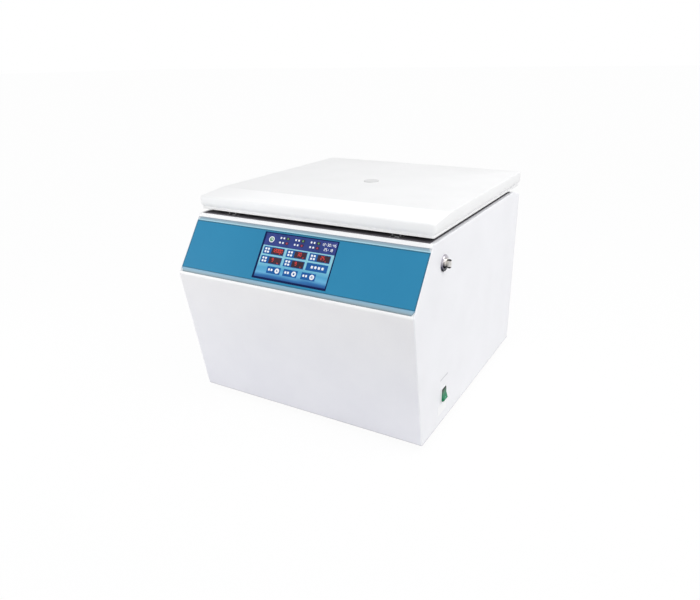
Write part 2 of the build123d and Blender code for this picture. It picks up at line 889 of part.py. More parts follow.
def knuckle(x_low, x_high):
    ring = rod_x(x_low, x_high, hinge_y, hinge_z, knuckle_radius)
    return ring - rod_x(x_low - 1, x_high + 1, hinge_y, hinge_z, hinge_pin_radius + running_fit)


def hinge_leaf_lower(side):
    """Leaf on the sloped end of the deck, with the two outer knuckles."""
    x = side * hinge_x
    inner = middle_knuckle / 2 + sliding_fit
    outer = inner + outer_knuckle
    slope = Pos(x, bevel_y, deck_z) * Rot(-bevel_slope, 0, 0)
    run = (hinge_y - bevel_y) / math.cos(math.radians(bevel_slope))
    leaf_end = run - knuckle_radius - 1
    leaf = slope * block(-outer, outer, run - leaf_length, leaf_end, 0, leaf_thickness)
    for low, high in ((-outer, -inner), (inner, outer)):
        leaf += slope * block(low, high, leaf_end, run, web_lift, hinge_rise)
    leaf += rod_x(x - outer, x - inner, hinge_y, hinge_z, knuckle_radius)
    leaf += rod_x(x + inner, x + outer, hinge_y, hinge_z, knuckle_radius)
    leaf -= rod_x(x - outer - 1, x + outer + 1, hinge_y, hinge_z, hinge_pin_radius + running_fit)
    return leaf


def hinge_leaf_upper(side):
    """Leaf under the lid with the middle knuckle."""
    x = side * hinge_x
    half = middle_knuckle / 2
    outer = half + outer_knuckle
    leaf = block(x - outer, x + outer, hinge_y - leaf_length - upper_leaf_extra, hinge_y,
                 lining_z - leaf_thickness, lining_z)
    leaf += block(x - half, x + half, hinge_y - knuckle_radius, hinge_y, hinge_z, lining_z)
    leaf += knuckle(x - half, x + half)
    return leaf - rod_x(x - outer, x + outer, hinge_y, hinge_z, hinge_pin_radius + running_fit)


def hinge_pin(side):
    x = side * hinge_x
    half = middle_knuckle / 2 + sliding_fit + outer_knuckle + hinge_pin_end
    return rod_x(x - half, x + half, hinge_y, hinge_z, hinge_pin_radius)


def lining_screw_places():
    """Along both sides, midway between the gasket and the lining's edge."""
    edge_x = (gasket_outer + lid_side - lid_wall - seat_gap) / 2
    front = lid_front + lining_screw_front
    rear = back_y - lining_screw_rear
    return [(x, y) for x in (-edge_x, edge_x) for y in (front, rotor_y, rear)]


def lining_screws():
    heads = []
    for x, y in lining_screw_places():
        heads.append(rod_z(x, y, lining_z - screw_head_height, lining_z, screw_head_radius))
    return heads


def rear_screws():
    screws = []
    for x, z in rear_screw_places():
        head = rod_y(x, back_y, back_y + screw_head_height, z, screw_head_radius)
        screws.append(head + rod_y(x, back_y - screw_length, back_y, z, screw_radius))
    return screws


def lock_escutcheon():
    """Chrome ring round the key lock, with a threaded collar behind the panel."""
    ring = rod_x(side_x, side_x + escutcheon_height, key_y, key_z, escutcheon_radius)
    ring = chamfer(ring.faces().sort_by(Axis.X)[-1].edges(), escutcheon_height / 2)
    return ring - rod_x(side_x - 1, side_x + escutcheon_height + 1, key_y, key_z,
                        barrel_radius + running_fit)


def lock_barrel():
    face = side_x + barrel_proud
    barrel = rod_x(face - barrel_length, face, key_y, key_z, barrel_radius)
    barrel = chamfer(barrel.faces().sort_by(Axis.X)[-1].edges(), 1)
    slot_y = key_thickness / 2 + running_fit
    slot_z = key_blade_height / 2 + running_fit
    return barrel - block(face - barrel_length / 2, face + 1, key_y - slot_y, key_y + slot_y,
                          key_z - slot_z, key_z + slot_z)


def key():
    """Flat key in the barrel's slot, with its bow outside."""
    face = side_x + barrel_proud
    tip = face - barrel_length / 2 + key_tip_gap
    half_y = key_thickness / 2
    half_z = key_bow_height / 2
    bow = block(face + seat_gap, face + key_bow_length, key_y - half_y, key_y + half_y,
                key_z - half_z, key_z + half_z)
    bow = fillet(bow.edges().filter_by(Axis.Y), key_bow_radius)
    blade_z = key_blade_height / 2
    return bow + block(tip, face + key_neck, key_y - half_y, key_y + half_y,
                       key_z - blade_z, key_z + blade_z)


def switch_frame():
    """Bezel on the side panel and the switch body behind it, open for the rocker."""
    half_y = bezel_width / 2
    half_z = bezel_height / 2
    bezel = block(side_x, side_x + bezel_thickness, switch_y - half_y, switch_y + half_y,
                  switch_z - half_z, switch_z + half_z)
    bezel = fillet(bezel.edges().filter_by(Axis.X), bezel_radius)
    body_y = rocker_width / 2 + bezel_thickness - seat_gap
    body_z = rocker_radius + bezel_thickness - seat_gap
    body = bezel + block(side_x - switch_body_depth, side_x, switch_y - body_y, switch_y + body_y,
                         switch_z - body_z, switch_z + body_z)
    open_y = rocker_width / 2 + sliding_fit
    open_z = rocker_radius + sliding_fit
    well = rocker_x - rocker_radius
    return body - block(well, side_x + bezel_thickness + 1, switch_y - open_y, switch_y + open_y,
                        switch_z - open_z, switch_z + open_z)


def power_rocker():
    """Rocker with two shallow flats, at rest with its lower end out."""
    reach = rocker_proud + bezel_thickness
    section = Polygon((-rocker_heel, -rocker_radius), (reach, -rocker_radius), (reach - rocker_dip, 0),
                      (reach, rocker_radius), (-rocker_heel, rocker_radius), (-rocker_root, 0),
                      align=None)
    section &= Circle(rocker_radius)
    face = Plane(origin=(0, rocker_width / 2, 0), x_dir=(1, 0, 0), z_dir=(0, -1, 0)) * section
    rocker = extrude(face, amount=rocker_width, dir=(0, -1, 0))
    return Pos(rocker_x, switch_y, switch_z) * Rot(0, -rocker_tilt, 0) * rocker


def inlet_socket():
    """Three-pin power inlet in the rear panel."""
    half_x = inlet_flange_width / 2
    half_z = inlet_flange_height / 2
    face = back_y + inlet_flange_thickness
    flange = block(inlet_x - half_x, inlet_x + half_x, back_y, face, inlet_z - half_z, inlet_z + half_z)
    flange = fillet(flange.edges().filter_by(Axis.Y), inlet_radius)
    body_x = inlet_body_width / 2
    body_z = inlet_body_height / 2
    flange += block(inlet_x - body_x, inlet_x + body_x, back_y - inlet_body_depth, back_y,
                    inlet_z - body_z, inlet_z + body_z)
    mouth_x = inlet_mouth_width / 2
    mouth_z = inlet_mouth_height / 2
    floor = face - inlet_mouth_depth
    flange -= block(inlet_x - mouth_x, inlet_x + mouth_x, floor, face + 1,
                    inlet_z - mouth_z, inlet_z + mouth_z)
    low = -inlet_side_pin_drop
    for x, z in ((-inlet_pin_spacing, low), (0, inlet_middle_pin_rise), (inlet_pin_spacing, low)):
        centre_x = inlet_x + x
        centre_z = inlet_z + z
        flange += block(centre_x - inlet_pin_width / 2, centre_x + inlet_pin_width / 2,
                        floor, floor + inlet_pin_length,
                        centre_z - inlet_pin_height / 2, centre_z + inlet_pin_height / 2)
    return flange


def fan_frame():
    """Square fan frame behind the grille, with a spider that carries the motor's spindle."""
    half = fan_size / 2
    rear = back_y - sheet
    front = rear - fan_depth
    frame = block(fan_x - half, fan_x + half, front, rear, fan_z - half, fan_z + half)
    frame = fillet(frame.edges().filter_by(Axis.Y), fan_corner)
    frame -= rod_y(fan_x, front - 1, rear + 1, fan_z, fan_bore_radius)
    spider = rod_y(fan_x, front, front + fan_spider_depth, fan_z, fan_hub_radius)
    for turn in (45, 135):
        strut = Box(2 * fan_bore_radius + 2, fan_spider_depth, fan_strut_width)
        spider += Pos(fan_x, front + fan_spider_depth / 2, fan_z) * Rot(0, turn, 0) * strut
    return frame + spider + rod_y(fan_x, front, front + fan_spindle_length, fan_z, fan_spindle_radius)


def fan_blades():
    """Hub and tilted blades that turn on the frame's spindle."""
    rear = back_y - sheet
    front = rear - fan_depth + fan_spider_depth + sliding_fit
    back = rear - fan_rear_gap
    hub = rod_y(0, front, back, 0, fan_hub_radius)
    root = fan_hub_radius - fan_blade_thickness
    tip = fan_bore_radius - fan_tip_gap
    blade = Box(tip - root, fan_blade_share * (back - front), fan_blade_thickness)
    blade = Pos((root + tip) / 2, (front + back) / 2, 0) * Rot(fan_blade_tilt, 0, 0) * blade
    for number in range(fan_blade_count):
        hub += Rot(0, 360 * number / fan_blade_count, 0) * blade
    spindle_end = rear - fan_depth + fan_spindle_length + sliding_fit
    hub -= rod_y(0, front - 1, spindle_end, 0, fan_spindle_radius + running_fit)
    return Pos(fan_x, 0, fan_z) * hub


def drive_controller():
    """Motor drive box midway between the motor plate and the side panel, with a finned lid."""
    middle = (motor_plate_size / 2 + inside_x) / 2
    left = middle - controller_width / 2
    right = middle + controller_width / 2
    half = controller_length / 2
    top = floor_z + controller_height
    box = block(left, right, rotor_y - half, rotor_y + half, floor_z, top)
    pitch = controller_width / controller_fin_count
    reach = half - controller_fin_margin
    for number in range(controller_fin_count):
        x = left + (number + 0.5) * pitch
        box += block(x - controller_fin_width / 2, x + controller_fin_width / 2,
                     rotor_y - reach, rotor_y + reach, top, top + controller_fin_height)
    return box


def power_supply():
    """Closed box midway between the motor plate and the other side panel."""
    middle = -(motor_plate_size / 2 + inside_x) / 2
    half = supply_length / 2
    box = block(middle - supply_width / 2, middle + supply_width / 2,
                rotor_y - half, rotor_y + half, floor_z, floor_z + supply_height)
    return fillet(box.edges().filter_by(Axis.Z), supply_radius)


def main():
    wall = case_wall()
    save("side_panel_left", side_panel(-1))
    save("side_panel_right", side_panel(1))
    save("front_cover", front_cover(wall))
    save("top_deck", top_deck(wall))
    save("rear_panel", rear_panel(wall))
    save("base_plate", base_plate(wall))
    for name, (x, y) in foot_places().items():
        save(name, foot(x, y))
    save("foot_screws", Compound(children=[foot_screw(x, y) for x, y in foot_places().values()]))
    save("trim_strip_upper", trim_strip(fascia_from, strip_upper_end, True))
    save("trim_strip_lower", trim_strip(strip_lower_start, fascia_end, False))
    save("control_fascia", control_fascia())
    save("screen_glass", screen_glass())
    save("display_module", display_module())
    save("control_board", control_board())
    save("chamber_bowl", chamber_bowl())
    save("bowl_gasket", bowl_gasket())
    save("guard_ring", guard_ring())
    save("shaft_boot", shaft_boot())
    save("motor_housing", motor_housing())
    save("motor_bearings", Compound(children=[motor_bearing(low) for low in bearing_places()]))
    save("motor_plate", motor_plate())
    save("motor_dampers", Compound(children=motor_dampers()))
    save("drive_shaft", drive_shaft())
    save("rotor_yoke", rotor_yoke())
    save("rotor_nut", rotor_nut())
    for number in range(bucket_count):
        save(f"bucket_{number + 1}", bucket(number))
    save("lid_shell", lid_shell())
    save("lid_lining", lid_lining())
    save("sight_window", sight_window())
    save("lining_screws", Compound(children=lining_screws()))
    save("rear_screws", Compound(children=rear_screws()))
    for side, word in ((-1, "left"), (1, "right")):
        save(f"striker_{word}", striker(side))
        save(f"lock_unit_{word}", lock_unit(side))
        save(f"latch_bolt_{word}", latch_bolt(side))
        save(f"hinge_leaf_lower_{word}", hinge_leaf_lower(side))
        save(f"hinge_leaf_upper_{word}", hinge_leaf_upper(side))
        save(f"hinge_pin_{word}", hinge_pin(side))
    save("lock_escutcheon", lock_escutcheon())
    save("lock_barrel", lock_barrel())
    save("key", key())
    save("switch_frame", switch_frame())
    save("power_rocker", power_rocker())
    save("inlet_socket", inlet_socket())
    save("fan_frame", fan_frame())
    save("fan_blades", fan_blades())
    save("drive_controller", drive_controller())
    save("power_supply", power_supply())


main()
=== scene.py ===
import json
import math

import bmesh
import bpy
from mathutils import Matrix, Vector
from mathutils.bvhtree import BVHTree


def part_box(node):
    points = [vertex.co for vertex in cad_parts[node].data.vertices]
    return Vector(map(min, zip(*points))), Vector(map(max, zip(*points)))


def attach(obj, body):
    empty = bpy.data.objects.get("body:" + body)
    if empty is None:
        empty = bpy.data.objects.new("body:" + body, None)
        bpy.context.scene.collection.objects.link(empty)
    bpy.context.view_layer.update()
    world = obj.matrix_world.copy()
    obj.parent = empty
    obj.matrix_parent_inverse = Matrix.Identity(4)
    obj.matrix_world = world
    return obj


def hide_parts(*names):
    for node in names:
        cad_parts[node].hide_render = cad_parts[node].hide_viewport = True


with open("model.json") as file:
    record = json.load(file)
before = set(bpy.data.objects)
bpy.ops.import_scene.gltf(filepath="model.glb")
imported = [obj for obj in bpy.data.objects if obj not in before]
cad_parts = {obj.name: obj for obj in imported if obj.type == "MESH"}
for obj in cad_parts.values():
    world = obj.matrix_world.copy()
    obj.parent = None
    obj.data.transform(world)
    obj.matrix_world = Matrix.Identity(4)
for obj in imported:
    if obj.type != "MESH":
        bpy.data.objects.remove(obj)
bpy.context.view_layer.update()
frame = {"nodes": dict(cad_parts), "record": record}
nodes = frame["nodes"]
scene = bpy.context.scene
slotOf = {row["node"]: row["material_slot"] for row in frame["record"]["subparts"]}
mm = 0.001


# Small helpers

def linear(code):  # "#3189B7" as written on screen, into light values
    parts = [int(code[i:i + 2], 16) / 255 for i in (1, 3, 5)]
    return tuple(c / 12.92 if c <= 0.04045 else ((c + 0.055) / 1.055) ** 2.4 for c in parts) + (1.0,)


def addNode(tree, kind, values=None, **settings):
    node = tree.nodes.new(kind)
    for key, value in settings.items():
        setattr(node, key, value)
    for key, value in (values or {}).items():
        node.inputs[key].default_value = value
    return node


def join(tree, source, target):
    tree.links.new(source, target)


def newObject(name, mesh, material, body):
    piece = bpy.data.objects.new(name, mesh)
    scene.collection.objects.link(piece)
    if material:
        piece.data.materials.clear()
        piece.data.materials.append(material)
    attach(piece, body)
    return piece


# Finishes

def plainShader(name):
    material = bpy.data.materials.new(name)
    material.use_nodes = True
    tree = material.node_tree
    tree.nodes.clear()
    output = addNode(tree, "ShaderNodeOutputMaterial")
    shader = addNode(tree, "ShaderNodeBsdfPrincipled")
    join(tree, shader.outputs["BSDF"], output.inputs["Surface"])
    return material, tree, shader


def scaledPlace(tree, scale):
    place = addNode(tree, "ShaderNodeTexCoord")
    mapping = addNode(tree, "ShaderNodeMapping", {"Scale": scale})
    join(tree, place.outputs["Object"], mapping.inputs["Vector"])
    return mapping.outputs["Vector"]


def turnedPlace(tree, axis, scale):  # rings round an upright axis: x becomes the radius
    place = addNode(tree, "ShaderNodeTexCoord")
    centre = addNode(tree, "ShaderNodeMapping", {"Location": (-axis[0], -axis[1], 0)})
    join(tree, place.outputs["Object"], centre.inputs["Vector"])
    parts = addNode(tree, "ShaderNodeSeparateXYZ")
    join(tree, centre.outputs["Vector"], parts.inputs["Vector"])
    flat = addNode(tree, "ShaderNodeCombineXYZ")
    join(tree, parts.outputs["X"], flat.inputs["X"])
    join(tree, parts.outputs["Y"], flat.inputs["Y"])
    reach = addNode(tree, "ShaderNodeVectorMath", operation="LENGTH")
    join(tree, flat.outputs["Vector"], reach.inputs[0])
    rings = addNode(tree, "ShaderNodeCombineXYZ")
    join(tree, reach.outputs["Value"], rings.inputs["X"])
    join(tree, parts.outputs["Z"], rings.inputs["Z"])
    mapping = addNode(tree, "ShaderNodeMapping", {"Scale": scale})
    join(tree, rings.outputs["Vector"], mapping.inputs["Vector"])
    return mapping.outputs["Vector"]


def mixedColour(tree, share, first, second, blend="MIX"):
    mix = addNode(tree, "ShaderNodeMix", data_type="RGBA", blend_type=blend)
    for socket, given in ((0, share), (6, first), (7, second)):
        if isinstance(given, bpy.types.NodeSocket):
            join(tree, given, mix.inputs[socket])
        else:
            mix.inputs[socket].default_value = given
    return mix.outputs[2]


def rangeAlong(tree, axis, start, end, least=0.0):  # rises to 1 between two places on an axis
    place = addNode(tree, "ShaderNodeTexCoord")
    parts = addNode(tree, "ShaderNodeSeparateXYZ")
    join(tree, place.outputs["Object"], parts.inputs["Vector"])
    share = addNode(tree, "ShaderNodeMapRange", {"From Min": start, "From Max": end, "To Min": least})
    join(tree, parts.outputs[axis], share.inputs["Value"])
    return share.outputs["Result"]


def colourStops(tree, share, stops):
    ramp = addNode(tree, "ShaderNodeValToRGB")
    while len(ramp.color_ramp.elements) < len(stops):
        ramp.color_ramp.elements.new(0.5)
    for element, (position, code) in zip(ramp.color_ramp.elements, stops):
        element.position = position
        element.color = linear(code)
    join(tree, share, ramp.inputs["Fac"])
    return ramp.outputs["Color"]


def heightBands(tree, bands):  # colours laid in level bands between two heights
    return colourStops(tree, rangeAlong(tree, "Z", bands["low"], bands["high"]), bands["stops"])


finishBase = {  # what a look doesn't say for itself
    "cloud": 14, "cloudDetail": 3.0, "grainDetail": 2.0, "grainShare": 0.4, "stretch": (1, 1, 1), "turnedAt": None,
    "relief": 0.2, "depth": 0.0002, "metal": 0.0, "shine": 0.5,
    "colourAt": (0.35, 0.65), "roughAt": (0.3, 0.7),  # noise values where the two colours and roughnesses lie
}


def makeFinish(name, given):
    look = {**finishBase, **given}
    material, tree, shader = plainShader(name)
    axis = look["turnedAt"]
    grainPlace = turnedPlace(tree, axis, look["stretch"]) if axis else scaledPlace(tree, look["stretch"])
    cloudPlace = scaledPlace(tree, (1, 1, 1))
    cloud = addNode(tree, "ShaderNodeTexNoise", {"Scale": look["cloud"], "Detail": look["cloudDetail"]})
    join(tree, cloudPlace, cloud.inputs["Vector"])
    grain = addNode(tree, "ShaderNodeTexNoise", {"Scale": look["grain"], "Detail": look["grainDetail"]})
    join(tree, grainPlace, grain.inputs["Vector"])
    both = addNode(tree, "ShaderNodeMix", {"Factor": look["grainShare"]})
    join(tree, cloud.outputs["Fac"], both.inputs["A"])
    join(tree, grain.outputs["Fac"], both.inputs["B"])
    darkAt, lightAt = look["colourAt"]
    colour = colourStops(tree, both.outputs["Result"], ((darkAt, look["dark"]), (lightAt, look["light"])))
    if "bands" in look:
        colour = mixedColour(tree, 1.0, colour, heightBands(tree, look["bands"]), "MULTIPLY")
    if "painted_light" in look:  # painted light: whiter where the mesh's own attribute says so, fading towards one side
        painted_light = look["painted_light"]
        marked = addNode(tree, "ShaderNodeAttribute", attribute_name="painted_light")
        fade = addNode(tree, "ShaderNodeMath", operation="MULTIPLY")
        join(tree, marked.outputs["Fac"], fade.inputs[0])
        join(tree, rangeAlong(tree, "X", painted_light["start"], painted_light["end"], painted_light["least"]), fade.inputs[1])
        colour = mixedColour(tree, fade.outputs[0], colour, linear(painted_light["colour"]))
    join(tree, colour, shader.inputs["Base Color"])
    fromLow, fromHigh = look["roughAt"]
    low, high = look["roughness"]
    rough = addNode(tree, "ShaderNodeMapRange",
                    {"From Min": fromLow, "From Max": fromHigh, "To Min": low, "To Max": high})
    join(tree, both.outputs["Result"], rough.inputs["Value"])
    join(tree, rough.outputs["Result"], shader.inputs["Roughness"])
    bump = addNode(tree, "ShaderNodeBump", {"Strength": look["relief"], "Distance": look["depth"]})
    join(tree, grain.outputs["Fac"], bump.inputs["Height"])
    join(tree, bump.outputs["Normal"], shader.inputs["Normal"])
    shader.inputs["Metallic"].default_value = look["metal"]
    shader.inputs["Specular IOR Level"].default_value = look["shine"]
    if "glow" in look:
        shader.inputs["Emission Color"].default_value = linear(look["light"])
        shader.inputs["Emission Strength"].default_value = look["glow"]
    return material


rotorAxis = (0.0, 0.039)
looks = {
    "case_paint": {"dark": "#EFEFF2", "light": "#F3F3F6", "roughness": (0.36, 0.44), "grain": 420,
                   "relief": 0.12, "grainShare": 0.25,
                   # darker in a narrow band along the foot of every case panel, 14 to 19 mm up
                   "bands": {"low": 0.014, "high": 0.019,
                             "stops": ((0.0, "#BDBDC2"), (0.35, "#C4C4C9"), (0.6, "#FFFFFF"))}},
    "lid_paint": {"dark": "#F0F0F0", "light": "#F4F4F4", "roughness": (0.34, 0.42), "grain": 420,
                  "relief": 0.12, "grainShare": 0.25,
                  # painted light: the lid's slope and front faces are painted whiter than its top, fading out towards
                  # its left end
                  "painted_light": {"colour": "#FFFFFF", "start": -0.24, "end": -0.13, "least": 0.1}},
    "lining_plastic": {"dark": "#D6D8DA", "light": "#DEDFE1", "roughness": (0.5, 0.6), "grain": 1300,
                       "relief": 0.3},
    "fascia_film": {"dark": "#2682AC", "light": "#2A87B1", "roughness": (0.42, 0.5), "grain": 1800,
                    "relief": 0.15, "depth": 0.0001, "cloud": 9, "shine": 0.25},
    "trim_alloy": {"dark": "#A3BDD0", "light": "#B4D2E4", "roughness": (0.28, 0.4), "grain": 60,
                   "stretch": (1, 40, 40), "relief": 0.15, "depth": 0.0001, "metal": 0.35},
    "screen_glass": {"dark": "#03184C", "light": "#051D56", "roughness": (0.12, 0.18), "grain": 300,
                     "relief": 0.0, "shine": 0.12},
    "display": {"dark": "#2A2C30", "light": "#34363A", "roughness": (0.45, 0.55), "grain": 900},
    "board": {"dark": "#0D4A2B", "light": "#15603A", "roughness": (0.35, 0.5), "grain": 240,
              "stretch": (1, 6, 1), "grainShare": 0.8, "relief": 0.3},
    "chrome": {"dark": "#C9CBD2", "light": "#E4E6EA", "roughness": (0.06, 0.14), "grain": 500,
               "relief": 0.05, "metal": 1.0},
    "steel": {"dark": "#A9ABAE", "light": "#C3C5C8", "roughness": (0.26, 0.38), "grain": 900,
              "relief": 0.15, "metal": 1.0},
    "zinc_steel": {"dark": "#A7A59C", "light": "#C9C8C0", "roughness": (0.32, 0.48), "grain": 260,
                   "relief": 0.2, "metal": 1.0},
    "rotor_alloy": {"dark": "#B9BDC2", "light": "#D6DADE", "roughness": (0.24, 0.36), "grain": 60,
                    "turnedAt": rotorAxis, "stretch": (40, 1, 40), "grainShare": 0.75, "relief": 0.2,
                    "metal": 1.0},
    "motor_cast": {"dark": "#5B5F63", "light": "#6E7276", "roughness": (0.5, 0.65), "grain": 700,
                   "relief": 0.5, "depth": 0.0004, "metal": 0.6},
    "black_rubber": {"dark": "#161617", "light": "#202123", "roughness": (0.6, 0.75), "grain": 1200,
                     "relief": 0.35, "depth": 0.0003},
    "grey_rubber": {"dark": "#4B4D50", "light": "#595B5E", "roughness": (0.6, 0.75), "grain": 1100,
                    "relief": 0.35, "depth": 0.0003},
    "black_plastic": {"dark": "#1B1C1E", "light": "#242527", "roughness": (0.4, 0.52), "grain": 1500,
                      "relief": 0.3},
    "white_plastic": {"dark": "#E9EAEC", "light": "#F1F2F3", "roughness": (0.32, 0.42), "grain": 1500,
                      "relief": 0.2},
    "green_plastic": {"dark": "#0B6B4B", "light": "#147E5A", "roughness": (0.26, 0.36), "grain": 1200,
                      "relief": 0.15, "shine": 0.35},
    "window_plastic": {"dark": "#D2D2D2", "light": "#DCDCDC", "roughness": (0.24, 0.32), "grain": 800,
                       "relief": 0.05, "shine": 0.3},
}
finishes = {slot: makeFinish(slot, look) for slot, look in looks.items()}
for nodeName, node in nodes.items():
    node.data.materials.clear()
    node.data.materials.append(finishes[slotOf[nodeName]])
ownLooks = (  # nodes with a finish of their own: its name, the look it starts from and what differs
    (["chamber_bowl"], "spun_steel", "steel", {
        "dark": "#A4A6A9", "light": "#C6C8CA", "roughness": (0.22, 0.36), "grain": 60, "turnedAt": rotorAxis,
        "stretch": (30, 1, 30), "grainShare": 0.7, "relief": 0.25}),
    # painted shade: the front cover's lower face is a greyer, bluer copy of the case paint, with a painted highlight
    # making its upper fold white; like the case panels it is darker in a band along its foot
    (["front_cover"], "front_paint", "case_paint", {
        "dark": "#FBFBFC", "light": "#FFFFFF",
        "bands": {"low": 0.014, "high": 0.275, "stops": (
            (0.0, "#B4B4B9"), (0.007, "#BCBCC1"), (0.012, "#EEEEF4"), (0.5, "#EEEEF2"), (0.975, "#F2F1F2"),
            (0.985, "#FFFFFF"))}}),
    # painted reflections: the silver strips are near-white metal with blue-grey reflections painted in bands across
    # their height
    (["trim_strip_upper"], "strip_upper", "trim_alloy", {
        "dark": "#F2F2F2", "light": "#FCFCFC", "metal": 0.1,
        "bands": {"low": 0.3585, "high": 0.3650, "stops": (
            (0.0, "#A9DCEE"), (0.2, "#B9E2F0"), (0.36, "#9CBFCE"), (0.6, "#95B0C0"), (0.9, "#96A7B4"),
            (1.0, "#A6B2BC"))}}),
    (["trim_strip_lower"], "strip_lower", "trim_alloy", {
        "dark": "#F2F2F2", "light": "#FCFCFC", "metal": 0.1,
        "bands": {"low": 0.2745, "high": 0.2819, "stops": (
            (0.0, "#7F8E95"), (0.15, "#8799A2"), (0.35, "#93AFBE"), (0.6, "#96B8CB"), (0.85, "#8CBAD3"),
            (1.0, "#86B8D4"))}}),
    # painted reflections: the lock's ring and barrel have a dark navy reflection painted along their lower part and a
    # white highlight above
    (["lock_escutcheon"], "ring_chrome", "chrome", {
        "dark": "#A5A1A9", "light": "#D2CFD5",
        "bands": {"low": 0.3135, "high": 0.3425, "stops": (
            (0.0, "#060A20"), (0.22, "#1A1E36"), (0.4, "#8C8C9C"), (0.65, "#FFFFFF"))}}),
    (["lock_barrel"], "barrel_chrome", "chrome", {
        "dark": "#C6C2BE", "light": "#E6E2DC",
        "bands": {"low": 0.3192, "high": 0.3368, "stops": (
            (0.0, "#0E122A"), (0.3, "#20222E"), (0.46, "#C4C4CA"), (0.62, "#FFFFFF"))}}),
    # painted highlight and shade: the green rocker is painted pale across its middle and darker towards its upper and
    # lower ends
    (["power_rocker"], "rocker_green", "green_plastic", {
        "dark": "#0A7A52", "light": "#149068", "shine": 0.2,
        "bands": {"low": 0.0600, "high": 0.0865, "stops": (
            (0.0, "#4C7A68"), (0.12, "#C8E4D8"), (0.45, "#FFFFFF"), (0.7, "#A8D0C0"), (0.85, "#3E6C5A"),
            (1.0, "#204A3A"))}}),
    # the key's steel is darker near its upper and lower ends and whiter between
    (["key"], "key_steel", "steel", {
        "dark": "#DAD7D2", "light": "#F0EDE8",
        "bands": {"low": 0.3205, "high": 0.3355, "stops": (
            (0.0, "#1C1A22"), (0.14, "#26242C"), (0.22, "#FFFFFF"), (0.8, "#FFFFFF"), (0.88, "#3A383E"),
            (1.0, "#26242C"))}}),
    (["striker_left", "striker_right"], "striker_steel", "steel", {"dark": "#5A595A", "light": "#8A8A8C"}),
)
for nodeNames, finishName, startLook, changes in ownLooks:
    finish = makeFinish(finishName, {**looks[startLook], **changes})
    for nodeName in nodeNames:
        nodes[nodeName].data.materials[0] = finish
print("finishes made:", len(finishes) + len(ownLooks))


# Flat plates: closed outlines given a thickness on any face of the object

def roundedOutline(left, top, right, bottom, radius, steps=4):
    points = []
    corners = ((right - radius, bottom - radius, 0), (left + radius, bottom - radius, 90),
               (left + radius, top + radius, 180), (right - radius, top + radius, 270))
    for u, v, start in corners:
        for step in range(steps + 1):
            turn = math.radians(start + 90 * step / steps)
            points.append((u + radius * math.cos(turn), v + radius * math.sin(turn)))
    return points


def discOutline(u, v, radius, steps=28):
    turns = [2 * math.pi * step / steps for step in range(steps)]
    return [(u + radius * math.cos(turn), v + radius * math.sin(turn)) for turn in turns]


def makePlates(name, outlines, place, low, high, material, body):
    built = bmesh.new()
    for outline in outlines:
        lower = [built.verts.new(place(u, v, low)) for u, v in outline]
        upper = [built.verts.new(place(u, v, high)) for u, v in outline]
        built.faces.new(upper)
        built.faces.new(lower[::-1])
        for i in range(len(outline)):
            following = (i + 1) % len(outline)
            built.faces.new((lower[i], lower[following], upper[following], upper[i]))
    bmesh.ops.recalc_face_normals(built, faces=built.faces)
    mesh = bpy.data.meshes.new(name)
    built.to_mesh(mesh)
    built.free()
    return newObject(name, mesh, material, body)


digitBars = {"0": "abcdef", "1": "bc", "2": "abged", "3": "abgcd", "4": "fgbc", "5": "afgcd",
             "6": "afgedc", "7": "abc", "8": "abcdefg", "9": "abcdfg"}
digitForm = {"gap": 1.6, "tip": 0.15, "dotsAt": (0.3, 0.7)}  # gap and tip in line widths, dots in digit heights


def digitOutlines(text, left, top, width, height, line):
    outlines = []
    half = line / 2
    for place, character in enumerate(text):
        u = left + place * (width + digitForm["gap"] * line)
        if character == ":":
            for share in digitForm["dotsAt"]:
                dotU, dotV = u + width / 2, top + share * height
                outlines.append(roundedOutline(dotU - half, dotV - half, dotU + half, dotV + half, line / 5, 1))
            continue
        middle = top + height / 2
        bars = {"a": (u, top, 1), "g": (u, middle, 1), "d": (u, top + height, 1),
                "f": (u, top, 0), "b": (u + width, top, 0), "e": (u, middle, 0), "c": (u + width, middle, 0)}
        for bar in digitBars[character]:
            startU, startV, flat = bars[bar]
            reach = width if flat else height / 2
            tip = digitForm["tip"] * line
            shape = [(tip, 0), (half, -half), (reach - half, -half),
                     (reach - tip, 0), (reach - half, half), (half, half)]
            outlines.append([(startU + a, startV + b) if flat else (startU + b, startV + a) for a, b in shape])
    return outlines


# Screen: what the display shows, drawn in millimetres from the glass's upper left corner

slant = {"topY": -0.2085, "topZ": 0.3707, "run": 0.0705, "rise": 0.0992}
slantLength = math.hypot(slant["run"], slant["rise"])
slantDown = Vector((0, -slant["run"], -slant["rise"])) / slantLength
slantOut = Vector((0, -slant["rise"], slant["run"])) / slantLength
screen = {
    "left": -76.0, "top": 18.0, "width": 152.0, "height": 86.5,
    "border": (4.0, 1.6, 2.2, 3.6),      # left, top, right, bottom
    "headerEnd": 24.6, "corner": 0.3,
    "columns": ((7.0, 51.0), (56.0, 98.0), (102.5, 144.5)),
    "rows": ((26.6, 40.4), (43.6, 57.4)),
    "buttonColumns": ((26.5, 55.0), (61.0, 90.0), (98.0, 126.5)),
    "buttonRow": (61.6, 74.2),
    "lampColumns": (50.8, 81.8, 113.4),
    "lampRows": (8.0, 16.6),
    "layer": 0.06,                       # each layer of the picture stands this much above the last
    "sunk": 0.02,                        # and reaches this far down into it
    "look": {"roughness": (0.2, 0.26), "grain": 500, "relief": 0.0, "shine": 0.12},
}
readings = (("12000", "8"), ("30", "10"), ("25", "6"), ("9", "45"), ("9", "15"))


def onSlant(x, fromTop, lift):
    return Vector((x * mm, slant["topY"], slant["topZ"])) + slantDown * fromTop * mm + slantOut * lift * mm


def onScreen(u, v, lift):
    return onSlant(screen["left"] + u, screen["top"] + v, lift)


